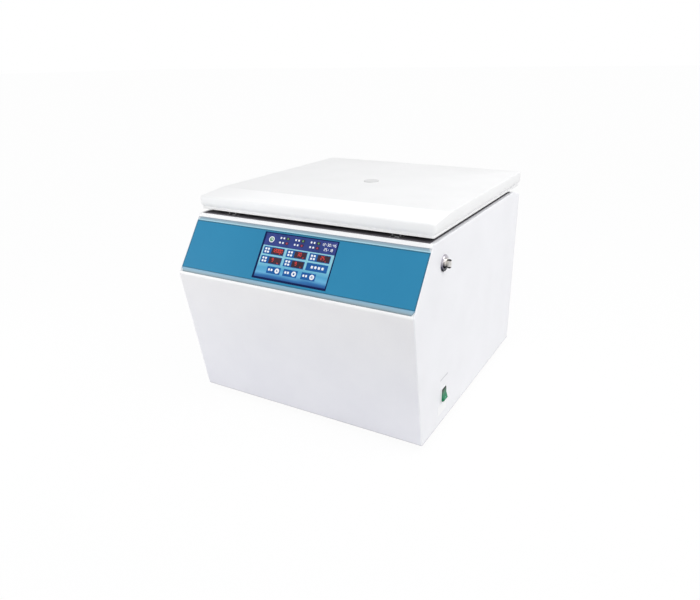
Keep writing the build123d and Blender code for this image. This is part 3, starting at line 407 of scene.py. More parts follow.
def screenPlates(name, outlines, layer, look):
    thick = screen["layer"]
    return makePlates(name, outlines, onScreen, (layer - 1) * thick - screen["sunk"], layer * thick,
                      makeFinish(name, {**screen["look"], **look}), "case")


ground = {
    "foot": 83, "head": 24,              # where the fade starts and ends, down from the glass's upper edge
    "waves": 16.0, "waveDetail": 2.0, "stretch": (0.5, 3, 3), "sway": 0.14, "roughness": 0.22, "shine": 0.12,
    "stops": ((0.0, "#27508E"), (0.1, "#3674B0"), (0.2, "#6CB4DC"), (0.3, "#55A4CE"), (0.5, "#84C8DC"),
              (1.0, "#96D0E0")),
}


def groundFinish():  # pale at the top, deeper at the foot, with slow waves across
    material, tree, shader = plainShader("screen_ground")
    height = rangeAlong(tree, "Z", onScreen(0, ground["foot"], 0).z, onScreen(0, ground["head"], 0).z)
    ripple = addNode(tree, "ShaderNodeTexNoise", {"Scale": ground["waves"], "Detail": ground["waveDetail"]})
    join(tree, scaledPlace(tree, ground["stretch"]), ripple.inputs["Vector"])
    sway = addNode(tree, "ShaderNodeMapRange", {"To Min": -ground["sway"], "To Max": ground["sway"]})
    join(tree, ripple.outputs["Fac"], sway.inputs["Value"])
    total = addNode(tree, "ShaderNodeMath", operation="ADD")
    join(tree, height, total.inputs[0])
    join(tree, sway.outputs["Result"], total.inputs[1])
    join(tree, colourStops(tree, total.outputs["Value"], ground["stops"]), shader.inputs["Base Color"])
    shader.inputs["Roughness"].default_value = ground["roughness"]
    shader.inputs["Specular IOR Level"].default_value = ground["shine"]
    return material


left, top, right, bottom = screen["border"]
innerRight, innerBottom = screen["width"] - right, screen["height"] - bottom
lowerPart = roundedOutline(left, screen["headerEnd"], innerRight, innerBottom, screen["corner"], 1)
upperPart = roundedOutline(left, top, innerRight, screen["headerEnd"], screen["corner"], 1)
makePlates("screen_ground", [lowerPart], onScreen, -screen["sunk"], screen["layer"], groundFinish(), "case")
screenPlates("screen_header", [upperPart], 1, {"dark": "#2E407C", "light": "#3E4A90", "cloud": 60, "grainShare": 0.1})

# Blocks stand for words. Each is given by its width and height, and digits by width, height and line
tile = {
    "radius": 0.8, "windowShare": 0.4, "margin": 1.1, "windowRadius": 0.5,
    "large": (2.8, 5.8, 0.95), "largeDown": 2.8, "largeIn": 6.5, "longIn": 2.2,
    "small": (1.2, 1.9, 0.45), "smallIn": 9.0, "smallUp": 3.8,
    "block": (3.8, 3.6), "blockIn": 3.2, "blockDown": 2.4, "pitch": (5.6, 5.4),
    "word": (4.2, 4.6), "wordIn": 9.4, "wordDown": 4.6, "wordPitch": 7.0, "wordRadius": 0.7,
}
button = {"discIn": 7.0, "disc": 4.6, "block": (3.6, 4.0), "blockIn": 3.0, "blockUp": 2.4, "pitch": 5.4}
icons = (  # start, stop and open, drawn round the middle of a button's disc
    [[(-1.2, -2.0), (2.0, 0.0), (-1.2, 2.0)]],
    [roundedOutline(-1.6, -1.6, 1.6, 1.6, 0.3, 1)],
    [roundedOutline(-2.2, 0.6, 2.2, 1.6, 0.2, 1), [(-2.2, -0.1), (0.0, -2.3), (2.2, -0.1)]],
)
lampForm = {"radius": 1.7, "steps": 18, "rim": (3.6, 2.6, 1.2), "block": (3.2, 3.2), "blockLeft": 16.0, "pitch": 6.2}
clock = {"digit": (2.1, 4.4, 0.95), "time": ("12:30:45", 120.4, 6.0), "date": ("25:18", 127.0, 14.6)}
dial = {"middle": (17.6, 13.0), "radius": 5.6, "inner": 4.0, "handRadius": 0.4,
        "hands": ((17.0, 9.8, 18.2, 13.6), (17.0, 12.4, 20.4, 13.6))}


def block(u, v, size, radius=0.6):
    return roundedOutline(u, v, u + size[0], v + size[1], radius, 2)


tiles, windows, marks, digits = [], [], [], []
for number in range(6):
    uLeft, uRight = screen["columns"][number % 3]
    vTop, vBottom = screen["rows"][number // 3]
    tiles.append(roundedOutline(uLeft, vTop, uRight, vBottom, tile["radius"]))
    if number == len(readings):  # the last tile holds a row of blocks and no reading
        for step in range(4):
            marks.append(block(uLeft + tile["wordIn"] + step * tile["wordPitch"], vTop + tile["wordDown"],
                               tile["word"], tile["wordRadius"]))
        continue
    split = uLeft + tile["windowShare"] * (uRight - uLeft)
    windows.append(roundedOutline(split, vTop + tile["margin"], uRight - tile["margin"], vBottom - tile["margin"],
                                  tile["windowRadius"], 2))
    large, small = readings[number]
    digitLeft = split + (tile["longIn"] if len(large) > 3 else tile["largeIn"])
    digits += digitOutlines(large, digitLeft, vTop + tile["largeDown"], *tile["large"])
    digits += digitOutlines(small, uRight - tile["smallIn"], vBottom - tile["smallUp"], *tile["small"])
    for row in range(2):
        for column in range(2):
            marks.append(block(uLeft + tile["blockIn"] + column * tile["pitch"][0],
                               vTop + tile["blockDown"] + row * tile["pitch"][1], tile["block"]))
iconDiscs, iconShapes = [], []
for (uLeft, uRight), icon in zip(screen["buttonColumns"], icons):
    vTop, vBottom = screen["buttonRow"]
    tiles.append(roundedOutline(uLeft, vTop, uRight, vBottom, tile["radius"]))
    u, middle = uRight - button["discIn"], (vTop + vBottom) / 2
    iconDiscs.append(discOutline(u, middle, button["disc"]))
    iconShapes += [[(u + a, middle + b) for a, b in outline] for outline in icon]
    for column in range(2):
        marks.append(block(uLeft + button["blockIn"] + column * button["pitch"], middle - button["blockUp"],
                           button["block"]))
greenLamps, redLamps, lampRims = [], [], []
rimAcross, rimUp, rimRadius = lampForm["rim"]
for u in screen["lampColumns"]:
    for v, lamps in zip(screen["lampRows"], (greenLamps, redLamps)):
        lampRims.append(roundedOutline(u - rimAcross, v - rimUp, u + rimAcross, v + rimUp, rimRadius, 3))
        lamps.append(discOutline(u, v, lampForm["radius"], lampForm["steps"]))
        for step in range(2):
            marks.append(block(u - lampForm["blockLeft"] + step * lampForm["pitch"], v - lampForm["block"][1] / 2,
                               lampForm["block"]))
clockDigits = digitOutlines(*clock["time"], *clock["digit"]) + digitOutlines(*clock["date"], *clock["digit"])
dialDisc, dialInner = (discOutline(*dial["middle"], dial[key]) for key in ("radius", "inner"))
dialHands = [roundedOutline(*hand, dial["handRadius"], 2) for hand in dial["hands"]]

paleLook, blueLook = {"dark": "#EFF4FA", "light": "#F8FBFE"}, {"dark": "#1C559A", "light": "#2465A8"}
screenPlates("screen_tiles", tiles, 2, {**blueLook, "cloud": 50})
screenPlates("screen_windows", windows + lampRims, 3, {"dark": "#3A2A34", "light": "#4A343F"})
screenPlates("screen_marks", marks + clockDigits + iconDiscs + [dialDisc], 3, paleLook)
screenPlates("screen_icons", iconShapes, 4, blueLook)
screenPlates("screen_dial", [dialInner], 4, {"dark": "#4C8A6C", "light": "#62A27E"})
screenPlates("screen_hands", dialHands, 5, paleLook)
screenPlates("screen_readings", digits, 4, {"dark": "#D23A34", "light": "#E8483C", "glow": 0.25})
screenPlates("screen_lamps_green", greenLamps, 4, {"dark": "#4E8A58", "light": "#6CA872", "glow": 0.1})
screenPlates("screen_lamps_red", redLamps, 4, {"dark": "#94355A", "light": "#B04268", "glow": 0.1})
print("screen drawn")


# Lid cover: a shell with a soft belly, a turned-in lip and a sloped front

lidForm = {
    "front": -204.6, "back": 279.0, "side": 238.4, "top": 407.7, "crease": -140.0, "drop": 5.6,
    "corner": 5.0, "cornerSteps": 6,
    "levels": ((378.0, -1.8), (380.4, -1.3), (381.3, -2.6), (382.2, -2.8), (386.8, 0.7), (389.0, 1.3)),
    "edgeBulge": 0.9, "sideEdge": 2.0, "frontEdge": 3.6, "edgeSteps": 5,
    "insideAt": -4.6, "skin": 2.2, "holeRadius": 14.0, "holeSteps": 40, "sharpFrom": 38, "slopeGain": 1.25,
}


def lidOutline():  # places on the plain outline with the way out at each
    form = lidForm
    corner = form["corner"]
    across, rear, ahead = form["side"] - corner, form["back"] - corner, form["front"] + corner
    outline = []
    for centreX, centreY, start in (
            (across, rear, 0), (-across, rear, 90), (-across, ahead, 180), (across, ahead, 270)):
        if start == 180:
            outline.append((-form["side"], form["crease"], -1.0, 0.0))
        for step in range(form["cornerSteps"] + 1):
            turn = math.radians(start + 90 * step / form["cornerSteps"])
            outX, outY = math.cos(turn), math.sin(turn)
            outline.append((centreX + corner * outX, centreY + corner * outY, outX, outY))
    outline.append((form["side"], form["crease"], 1.0, 0.0))
    return outline


def lidHeight(y):
    form = lidForm
    share = (form["crease"] - y) / (form["crease"] - form["front"])
    return form["top"] - form["drop"] * max(0.0, min(1.0, share))


def buildLid():
    form = lidForm
    outline = lidOutline()
    built = bmesh.new()

    def ring(offsetAt, heightAt):
        verts = []
        for x, y, outX, outY in outline:
            offset = offsetAt(outY)
            px, py = x + offset * outX, y + offset * outY
            verts.append(built.verts.new((px * mm, py * mm, heightAt(py, outY) * mm)))
        return verts

    def edgeRadius(outY):
        return form["sideEdge"] + (form["frontEdge"] - form["sideEdge"]) * max(0.0, -outY)

    rings = [ring(lambda outY: form["insideAt"], lambda y, outY: lidHeight(y) - form["skin"]),
             ring(lambda outY: form["insideAt"], lambda y, outY: form["levels"][0][0])]
    for height, offset in form["levels"]:
        rings.append(ring(lambda outY, offset=offset: offset, lambda y, outY, height=height: height))
    for step in range(form["edgeSteps"] + 1):
        turn = math.radians(90 * step / form["edgeSteps"])
        rings.append(ring(
            lambda outY, turn=turn: form["edgeBulge"] - edgeRadius(outY) * (1 - math.cos(turn)),
            lambda y, outY, turn=turn: lidHeight(y) - edgeRadius(outY) * (1 - math.sin(turn))))
    for low, high in zip(rings, rings[1:]):
        for i in range(len(outline)):
            following = (i + 1) % len(outline)
            built.faces.new((low[i], low[following], high[following], high[i])).smooth = True
    creaseLeft, creaseRight = 2 * (form["cornerSteps"] + 1), len(outline) - 1
    holes = []
    for verts in (rings[0], rings[-1]):
        built.faces.new(verts[creaseLeft:creaseRight + 1])
        hole = [built.verts.new((x * mm, rotorAxis[1] + y * mm, verts[0].co.z))
                for x, y in discOutline(0, 0, form["holeRadius"], form["holeSteps"])]
        border = [built.edges.new((hole[i], hole[(i + 1) % len(hole)])) for i in range(len(hole))]
        flat = [verts[creaseRight]] + verts[:creaseLeft + 1]
        border += [built.edges.get((flat[i], flat[(i + 1) % len(flat)])) for i in range(len(flat))]
        bmesh.ops.triangle_fill(built, use_beauty=True, edges=border)
        holes.append(hole)
    for i in range(form["holeSteps"]):
        following = (i + 1) % form["holeSteps"]
        built.faces.new((holes[0][i], holes[0][following], holes[1][following], holes[1][i])).smooth = True
    bmesh.ops.recalc_face_normals(built, faces=built.faces)
    mesh = bpy.data.meshes.new("lid_cover")
    built.to_mesh(mesh)
    built.free()
    mesh.set_sharp_from_angle(angle=math.radians(form["sharpFrom"]))
    painted_light = mesh.attributes.new("painted_light", "FLOAT", "FACE")
    gain = form["slopeGain"]
    for polygon in mesh.polygons:  # painted light: the slope is painted whitest, then the front
        onSlope = polygon.center.y < (form["crease"] - 1) * mm
        upward = max(0.0, gain * polygon.normal.z - (gain - 1)) if onSlope else 0.0
        painted_light.data[polygon.index].value = max(upward, -polygon.normal.y)
    return mesh


lidCover = newObject("lid_cover", buildLid(), finishes["lid_paint"], "lid")
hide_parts("lid_shell")
print("lid cover built:", len(lidCover.data.polygons), "faces")


# Painted shade: a dark sheet on the deck under the lid's edge, open at the striker slots, and a black sheet under the
# lid, both darkening the gap below the lid; and a dark border round the fascia

# painted shade: a thin dark grey sheet on the deck, where the gap below the lid's front is in shadow
deckShade = {"height": 370.7, "thick": 0.4, "front": -207.0, "side": 232.0, "inner": 206.0, "lid": -200.2,
            "rear": 230.0, "behindSlot": -190.0, "band": -178.0, "slotAt": 169.0, "slotHalf": 12.6}
shadeSheetLook = {"roughness": (0.7, 0.85), "grain": 1500, "relief": 0.4, "shine": 0.2}


def onDeck(u, v, lift):
    return Vector((u, v, deckShade["height"] + lift)) * mm


def oblong(left, low, right, high):
    return [(left, low), (right, low), (right, high), (left, high)]


def oblongFrame(left, low, right, high, uprightWidth, lowWidth, highWidth):
    innerLow, innerHigh = low + lowWidth, high - highWidth
    return [oblong(left, low, right, innerLow), oblong(left, innerHigh, right, high),
            oblong(left, innerLow, left + uprightWidth, innerHigh),
            oblong(right - uprightWidth, innerLow, right, innerHigh)]


slotLeft, slotRight = deckShade["slotAt"] - deckShade["slotHalf"], deckShade["slotAt"] + deckShade["slotHalf"]
deckShadeShapes = [oblong(-deckShade["side"], deckShade["front"], deckShade["side"], deckShade["lid"]),
              oblong(-slotLeft, deckShade["lid"], slotLeft, deckShade["band"])]
for near, far, low, high in ((slotRight, deckShade["side"], deckShade["lid"], deckShade["band"]),
                             (slotLeft, slotRight, deckShade["behindSlot"], deckShade["band"]),
                             (deckShade["inner"], deckShade["side"], deckShade["band"], deckShade["rear"])):
    deckShadeShapes += [oblong(near, low, far, high), oblong(-far, low, -near, high)]
makePlates("deck_shade_sheet", deckShadeShapes, onDeck, 0.0, deckShade["thick"],
           makeFinish("deck_shade_finish", {**shadeSheetLook, "dark": "#6B676D", "light": "#79757B"}), "case")

# painted shade: a black sheet under the lid's lining, so that the gap below the lid stays dark
lidShade = {"height": 379.5, "thick": 0.5, "outer": (-233.0, -196.6, 233.0, 274.6), "width": 30.0}


def onLining(u, v, lift):
    return Vector((u, v, lidShade["height"] - lift)) * mm


lidShadeWidth = lidShade["width"]
makePlates("lid_shade_sheet", oblongFrame(*lidShade["outer"], lidShadeWidth, lidShadeWidth, lidShadeWidth),
           onLining, 0.0, lidShade["thick"], makeFinish("lid_shade_finish", {**shadeSheetLook, "dark": "#1B1B1D", "light": "#252527"}),
           "lid")

border = {"outer": (-237.4, 14.2, 237.4, 109.0), "upright": 1.5, "upper": 2.2, "lower": 1.1,
          "thick": 0.08, "sunk": 0.02}
makePlates("fascia_border", oblongFrame(*border["outer"], border["upright"], border["upper"], border["lower"]),
           onSlant, -border["sunk"], border["thick"], makeFinish("fascia_edge", {
               "dark": "#0B5F7C", "light": "#106987", "roughness": (0.36, 0.44), "grain": 1800, "relief": 0.1}),
           "case")
print("shade_sheets and fascia border laid")


# Fastener heads: one tree of nodes sets a crossed head on each point, turned to its own angle

screws = {
    "sides": 24, "recessShare": 0.6, "seed": 7, "rim": 0.5,
    "crown": ((0.25, 0.9), (0.17, 0.8), (0.08, 0.6)),  # share of the height added, and what the top shrinks to
    "panelSize": (3.5, 2.0, 0.9), "inletSize": (2.4, 1.2, 0.7), "fanSize": (3.2, 1.6, 0.8),  # radius, height, recess
    "inlet": {"x": 0.165, "pitch": 0.020, "face": 0.2815, "z": 0.062},
    "fan": {"x": -0.110, "pitch": 0.0524, "z": 0.106},
}
screwInputs = ("Head Radius", "Head Height", "Recess Width")


def screwTree(material):
    tree = bpy.data.node_groups.new("screw_heads", "GeometryNodeTree")
    sockets = [("Points", "NodeSocketGeometry", None)]
    sockets += [(label, "NodeSocketFloat", size * mm) for label, size in zip(screwInputs, screws["panelSize"])]
    sockets.append(("Seed", "NodeSocketInt", screws["seed"]))
    for label, kind, value in sockets:
        socket = tree.interface.new_socket(label, in_out="INPUT", socket_type=kind)
        if value is not None:
            socket.default_value = value
    tree.interface.new_socket("Heads", in_out="OUTPUT", socket_type="NodeSocketGeometry")
    given = addNode(tree, "NodeGroupInput")

    def scaled(output, factor):
        times = addNode(tree, "ShaderNodeMath", operation="MULTIPLY")
        join(tree, output, times.inputs[0])
        times.inputs[1].default_value = factor
        return times.outputs[0]

    radius, height, recess = (given.outputs[label] for label in screwInputs)
    base = addNode(tree, "GeometryNodeMeshCylinder", {"Vertices": screws["sides"]})
    join(tree, radius, base.inputs["Radius"])
    join(tree, scaled(height, screws["rim"]), base.inputs["Depth"])
    mesh, cap = base.outputs["Mesh"], base.outputs["Top"]
    for rise, shrink in screws["crown"]:
        raised = addNode(tree, "GeometryNodeExtrudeMesh", {"Individual": False}, mode="FACES")
        join(tree, mesh, raised.inputs["Mesh"])
        join(tree, cap, raised.inputs["Selection"])
        join(tree, scaled(height, rise), raised.inputs["Offset Scale"])
        narrowed = addNode(tree, "GeometryNodeScaleElements", {"Scale": shrink})
        join(tree, raised.outputs["Mesh"], narrowed.inputs["Geometry"])
        join(tree, raised.outputs["Top"], narrowed.inputs["Selection"])
        mesh, cap = narrowed.outputs["Geometry"], raised.outputs["Top"]
    lifted = addNode(tree, "GeometryNodeTransform")
    join(tree, mesh, lifted.inputs["Geometry"])
    halfUp = addNode(tree, "ShaderNodeCombineXYZ")
    join(tree, scaled(height, screws["rim"] / 2), halfUp.inputs["Z"])
    join(tree, halfUp.outputs["Vector"], lifted.inputs["Translation"])
    cutter = addNode(tree, "GeometryNodeMeshBoolean", operation="UNION", solver="EXACT")
    for turn in (0, 90):
        size = addNode(tree, "ShaderNodeCombineXYZ")
        join(tree, scaled(radius, 2 * screws["recessShare"]), size.inputs["X"])
        join(tree, recess, size.inputs["Y"])
        join(tree, height, size.inputs["Z"])
        bar = addNode(tree, "GeometryNodeMeshCube")
        join(tree, size.outputs["Vector"], bar.inputs["Size"])
        turned = addNode(tree, "GeometryNodeTransform", {"Rotation": (0, 0, math.radians(turn))})
        join(tree, bar.outputs["Mesh"], turned.inputs["Geometry"])
        shift = addNode(tree, "ShaderNodeCombineXYZ")
        join(tree, height, shift.inputs["Z"])
        join(tree, shift.outputs["Vector"], turned.inputs["Translation"])
        join(tree, turned.outputs["Geometry"], cutter.inputs["Mesh 2"])
    cut = addNode(tree, "GeometryNodeMeshBoolean", operation="DIFFERENCE", solver="EXACT")
    join(tree, lifted.outputs["Geometry"], cut.inputs["Mesh 1"])
    join(tree, cutter.outputs["Mesh"], cut.inputs["Mesh 2"])
    facing = addNode(tree, "GeometryNodeInputNamedAttribute", {"Name": "facing"}, data_type="FLOAT_VECTOR")
    aligned = addNode(tree, "FunctionNodeAlignRotationToVector", axis="Z")
    join(tree, facing.outputs["Attribute"], aligned.inputs["Vector"])
    angle = addNode(tree, "FunctionNodeRandomValue", {3: math.pi}, data_type="FLOAT")  # 3 is the largest value
    join(tree, given.outputs["Seed"], angle.inputs["Seed"])
    spin = addNode(tree, "FunctionNodeAxisAngleToRotation", {"Axis": (0, 0, 1)})
    join(tree, angle.outputs[1], spin.inputs["Angle"])
    turnedHead = addNode(tree, "FunctionNodeRotateRotation", rotation_space="LOCAL")
    join(tree, aligned.outputs["Rotation"], turnedHead.inputs["Rotation"])
    join(tree, spin.outputs["Rotation"], turnedHead.inputs["Rotate By"])
    placed = addNode(tree, "GeometryNodeInstanceOnPoints")
    join(tree, given.outputs["Points"], placed.inputs["Points"])
    join(tree, cut.outputs["Mesh"], placed.inputs["Instance"])
    join(tree, turnedHead.outputs["Rotation"], placed.inputs["Rotation"])
    real = addNode(tree, "GeometryNodeRealizeInstances")
    join(tree, placed.outputs["Instances"], real.inputs["Geometry"])
    painted = addNode(tree, "GeometryNodeSetMaterial", {"Material": material})
    join(tree, real.outputs["Geometry"], painted.inputs["Geometry"])
    output = addNode(tree, "NodeGroupOutput")
    join(tree, painted.outputs["Geometry"], output.inputs["Heads"])
    return tree


def treeInput(tree, label):
    return next(item.identifier for item in tree.interface.items_tree
                if item.item_type == "SOCKET" and item.in_out == "INPUT" and item.name == label)


def screwHeads(name, tree, places, size, body, replaced=()):  # places are pairs: a point and the way it faces
    mesh = bpy.data.meshes.new(name + "_points")
    mesh.from_pydata([tuple(point) for point, facing in places], [], [])
    stored = mesh.attributes.new("facing", "FLOAT_VECTOR", "POINT")
    stored.data.foreach_set("vector", [value for point, facing in places for value in facing])
    carrier = bpy.data.objects.new(name + "_points", mesh)
    scene.collection.objects.link(carrier)
    modifier = carrier.modifiers.new(name, "NODES")
    modifier.node_group = tree
    for label, value in zip(screwInputs, size):
        modifier[treeInput(tree, label)] = value * mm
    evaluated = carrier.evaluated_get(bpy.context.evaluated_depsgraph_get())
    heads = bpy.data.meshes.new_from_object(evaluated)
    bpy.data.objects.remove(carrier)
    heads.name = name
    piece = newObject(name, heads, None, body)  # the tree has set its material
    if replaced:
        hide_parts(*replaced)


steelScrews = screwTree(finishes["zinc_steel"])
darkScrews = screwTree(finishes["steel"])


def solidPlaces(name):  # middle and upper corner of each of a node's separate solids
    merged = bmesh.new()
    merged.from_mesh(nodes[name].data)
    bmesh.ops.remove_doubles(merged, verts=merged.verts, dist=1e-6)
    places, seen = [], set()
    for start in merged.verts:
        if start in seen:
            continue
        island, edge = [], [start]
        while edge:
            vertex = edge.pop()
            if vertex in seen:
                continue
            seen.add(vertex)
            island.append(vertex.co.copy())
            edge += [other.other_vert(vertex) for other in vertex.link_edges]
        low = Vector(min(v[i] for v in island) for i in range(3))
        high = Vector(max(v[i] for v in island) for i in range(3))
        places.append(((low + high) / 2, high))
    merged.free()
    return places


backFace, downFace = Vector((0, 1, 0)), Vector((0, 0, -1))
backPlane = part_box("rear_panel")[1].y
rearPlaces = [(Vector((middle.x, backPlane, middle.z)), backFace) for middle, high in solidPlaces("rear_screws")]
screwHeads("rear_screw_heads", steelScrews, rearPlaces, screws["panelSize"], "case", ["rear_screws"])
liningPlaces = [(Vector((middle.x, middle.y, high.z)), downFace) for middle, high in solidPlaces("lining_screws")]
screwHeads("lining_screw_heads", steelScrews, liningPlaces, screws["panelSize"], "lid", ["lining_screws"])
inlet, fan = screws["inlet"], screws["fan"]
inletPlaces = [(Vector((inlet["x"] + side * inlet["pitch"], inlet["face"], inlet["z"])), backFace) for side in (-1, 1)]
screwHeads("inlet_screw_heads", steelScrews, inletPlaces, screws["inletSize"], "case")
fanPlaces = [(Vector((fan["x"] + x * fan["pitch"], backPlane, fan["z"] + z * fan["pitch"])), backFace)
             for x in (-1, 1) for z in (-1, 1)]
screwHeads("fan_screw_heads", darkScrews, fanPlaces, screws["fanSize"], "case")
print("fastener heads set")


# Bare label, printed line and switch marks on the right-hand side

sidePlane = 0.240


def onSide(u, v, lift):  # u towards the back and v up, in millimetres
    return Vector((sidePlane + lift * mm, u * mm, v * mm))


label = {"outline": (-162.0, 35.0, -122.0, 55.0), "radius": 2.0, "thick": 0.25, "sunk": 0.05}
printed = {"outline": (-156.0, 104.4, -120.0, 107.4), "radius": 0.6, "thick": 0.1, "sunk": 0.05}
makePlates("label_blank", [roundedOutline(*label["outline"], label["radius"])], onSide, -label["sunk"], label["thick"],
           makeFinish("label_film", {"dark": "#F6F6F7", "light": "#FBFBFB", "roughness": (0.3, 0.36), "grain": 900}),
           "case")
makePlates("printed_line", [roundedOutline(*printed["outline"], printed["radius"], 2)],
           onSide, -printed["sunk"], printed["thick"],
           makeFinish("printed_grey", {"dark": "#D0D0D4", "light": "#DADADE", "roughness": (0.4, 0.5), "grain": 900}),
           "case")


switch = {"y": -0.141, "z": 0.0732, "markAt": 0.0068, "lookFrom": 0.4, "bar": (0.3, 2.2), "ring": (1.6, 2.5),
          "ringSteps": 20, "thick": 0.08, "sunk": 0.05}


def surfaceFrame(nodeName, y, z):  # where a line from the right meets a node, and which way it faces there
    mesh = nodes[nodeName].data
    tree = BVHTree.FromPolygons([v.co.copy() for v in mesh.vertices], [p.vertices[:] for p in mesh.polygons])
    return tree.ray_cast(Vector((switch["lookFrom"], y, z)), Vector((-1, 0, 0)))[:2]


# printed on and off marks, in a pale green that also stands in for a painted highlight on the rocker
markPale = makeFinish("mark_pale", {"dark": "#3FB38A", "light": "#55C29C", "roughness": (0.3, 0.36), "grain": 900})
barHalf, barUp = switch["bar"]
inner, outer = switch["ring"]
onBar = [oblong(-barHalf, -barUp, barHalf, barUp)]
turns = [2 * math.pi * step / switch["ringSteps"] for step in range(switch["ringSteps"] + 1)]
rim = [(math.cos(turn), math.sin(turn)) for turn in turns]
offRing = [[(first[0] * outer, first[1] * outer), (second[0] * outer, second[1] * outer),
            (second[0] * inner, second[1] * inner), (first[0] * inner, first[1] * inner)]
           for first, second in zip(rim, rim[1:])]
for name, outlines, side in (("switch_mark_on", onBar, 1), ("switch_mark_off", offRing, -1)):
    point, normal = surfaceFrame("power_rocker", switch["y"], switch["z"] + side * switch["markAt"])
    across = Vector((0, 1, 0))
    upward = normal.cross(across).normalized()

    def onRocker(u, v, lift):
        return point + across * u * mm + upward * v * mm + normal * lift * mm

    makePlates(name, outlines, onRocker, -switch["sunk"], switch["thick"], markPale, "power_rocker")
print("side marks placed")


# Rotor place numbers on the yoke's four arms

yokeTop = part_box("rotor_yoke")[1].z
numbers = {"size": 0.013, "radius": 0.054, "thick": 0.00008, "firstTurn": 45, "curveSteps": 4}
inkFinish = makeFinish("engraved_ink", {"dark": "#26282B", "light": "#323438", "roughness": (0.5, 0.6), "grain": 900})
for number in range(4):
    words = bpy.data.curves.new(f"place_number_{number + 1}", "FONT")
    words.body = str(number + 1)
    words.size = numbers["size"]
    words.align_x = "CENTER"
    words.align_y = "CENTER"
    words.extrude = numbers["thick"]
    words.resolution_u = numbers["curveSteps"]
    writer = bpy.data.objects.new("writer", words)
    scene.collection.objects.link(writer)
    written = bpy.data.meshes.new_from_object(writer.evaluated_get(bpy.context.evaluated_depsgraph_get()))
    bpy.data.objects.remove(writer)
    turn = math.radians(numbers["firstTurn"] + 90 * number)
    radius = numbers["radius"]
    spot = Vector((rotorAxis[0] + radius * math.cos(turn), rotorAxis[1] + radius * math.sin(turn), yokeTop))
    written.transform(Matrix.Translation(spot) @ Matrix.Rotation(turn - math.pi / 2, 4, "Z"))
    newObject(f"place_number_{number + 1}", written, inkFinish, "rotor")
print("rotor numbered")


# Floor, lights and camera

studio = {
    "floor": "#FAFAFA", "floorGlow": 0.95, "floorReach": 40, "ambient": 0.42, "ambientTint": (0.97, 0.98, 1.0, 1.0),
    "suns": (("key_light", 1.0, 60, (0.35, -0.25, 0.9)),  # strength, spread in degrees, where it comes from
             ("front_light", 0.3, 50, (0.1, -0.75, 0.65)),
             ("side_light", 0.03, 60, (0.95, -0.1, 0.3))),
    "softboxes": (("right_softbox", 7.0, 1.0, (1.0, 0.12, 1.42), (0.0, 0.0, 0.35)),  # power, width, place, aim
                  ("left_softbox", 2.0, 0.6, (-0.9, -0.75, 0.42), (-0.1, -0.25, 0.2))),
}


def backdropShare(tree):  # 1 where the camera, a reflection or glass looks at the backdrop
    path = addNode(tree, "ShaderNodeLightPath")
    first = addNode(tree, "ShaderNodeMath", operation="MAXIMUM")
    join(tree, path.outputs["Is Camera Ray"], first.inputs[0])
    join(tree, path.outputs["Is Glossy Ray"], first.inputs[1])
    second = addNode(tree, "ShaderNodeMath", operation="MAXIMUM")
    join(tree, first.outputs[0], second.inputs[0])
    join(tree, path.outputs["Is Transmission Ray"], second.inputs[1])
    return second.outputs[0]


def showBackdrop(tree, outputKind, share, lit, plain):  # lit for the object, plain for the camera
    output = addNode(tree, outputKind)
    mixed = addNode(tree, "ShaderNodeMixShader")
    join(tree, share, mixed.inputs["Fac"])
    join(tree, lit.outputs[0], mixed.inputs[1])
    join(tree, plain.outputs[0], mixed.inputs[2])
    join(tree, mixed.outputs[0], output.inputs["Surface"])


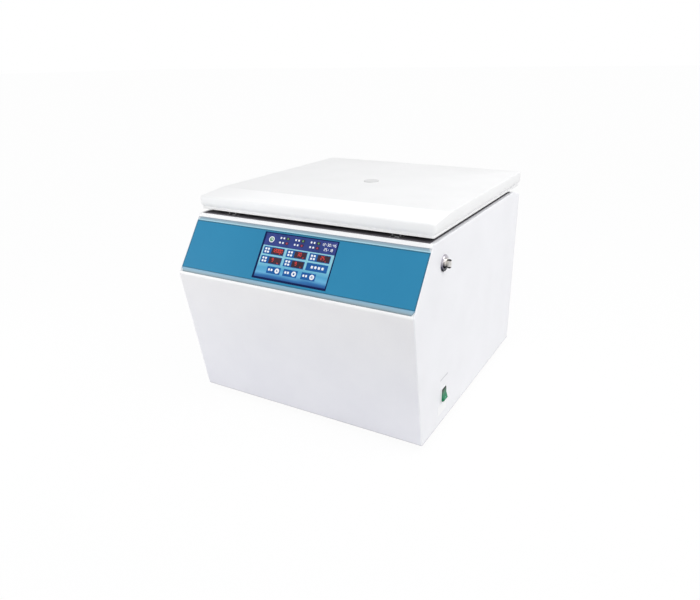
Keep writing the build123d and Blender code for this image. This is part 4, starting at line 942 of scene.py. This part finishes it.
reach = studio["floorReach"]
floorMesh = bpy.data.meshes.new("floor")
floorCorners = [(-reach, -reach, 0), (reach, -reach, 0), (reach, reach, 0), (-reach, reach, 0)]
floorMesh.from_pydata(floorCorners, [], [(0, 1, 2, 3)])
floor = bpy.data.objects.new("floor", floorMesh)
scene.collection.objects.link(floor)
floorMaterial = bpy.data.materials.new("studio_floor")
floorMaterial.use_nodes = True
tree = floorMaterial.node_tree
tree.nodes.clear()
lit = addNode(tree, "ShaderNodeBsdfDiffuse", {"Color": linear(studio["floor"])})
plain = addNode(tree, "ShaderNodeEmission", {"Strength": 1.0})
share = addNode(tree, "ShaderNodeMath", {1: studio["floorGlow"]}, operation="MULTIPLY")
join(tree, backdropShare(tree), share.inputs[0])
showBackdrop(tree, "ShaderNodeOutputMaterial", share.outputs[0], lit, plain)
floor.data.materials.append(floorMaterial)

world = bpy.data.worlds.new("studio")
world.use_nodes = True
scene.world = world
tree = world.node_tree
tree.nodes.clear()
lit = addNode(tree, "ShaderNodeBackground", {"Color": studio["ambientTint"], "Strength": studio["ambient"]})
plain = addNode(tree, "ShaderNodeBackground", {"Color": (1.0, 1.0, 1.0, 1.0), "Strength": 1.0})
showBackdrop(tree, "ShaderNodeOutputWorld", backdropShare(tree), lit, plain)


def addLamp(name, kind, energy, facing):
    lamp = bpy.data.lights.new(name, kind)
    lamp.energy = energy
    holder = bpy.data.objects.new(name, lamp)
    scene.collection.objects.link(holder)
    holder.rotation_euler = facing.to_track_quat("Z", "Y").to_euler()
    return lamp, holder


for name, strength, spread, source in studio["suns"]:
    lamp, holder = addLamp(name, "SUN", strength, Vector(source))
    lamp.angle = math.radians(spread)
for name, power, width, place, aim in studio["softboxes"]:
    lamp, holder = addLamp(name, "AREA", power, Vector(place) - Vector(aim))
    lamp.size = width
    holder.location = place

view = {"place": (0.5808, -1.0655, 0.6404), "yaw": 29.9, "pitch": 21.5, "roll": -0.85,
        "sensor": 36, "focalShare": 614 / 700}  # focal length as a share of the picture's width
yaw, pitch, roll = (math.radians(view[key]) for key in ("yaw", "pitch", "roll"))
back = Vector((math.sin(yaw) * math.cos(pitch), -math.cos(yaw) * math.cos(pitch), math.sin(pitch)))
level = (-back).cross(Vector((0, 0, 1))).normalized()
upright = level.cross(-back)
rightward = level * math.cos(roll) + upright * math.sin(roll)
upward = upright * math.cos(roll) - level * math.sin(roll)
lens = bpy.data.cameras.new("camera")
lens.sensor_width = view["sensor"]
lens.sensor_fit = "HORIZONTAL"
lens.lens = view["focalShare"] * view["sensor"]
lens.clip_start = 0.01
camera = bpy.data.objects.new("camera", lens)
scene.collection.objects.link(camera)
camera.matrix_world = Matrix.Translation(view["place"]) @ Matrix((rightward, upward, back)).transposed().to_4x4()
scene.camera = camera
scene.view_settings.view_transform = "Standard"
print("studio ready")
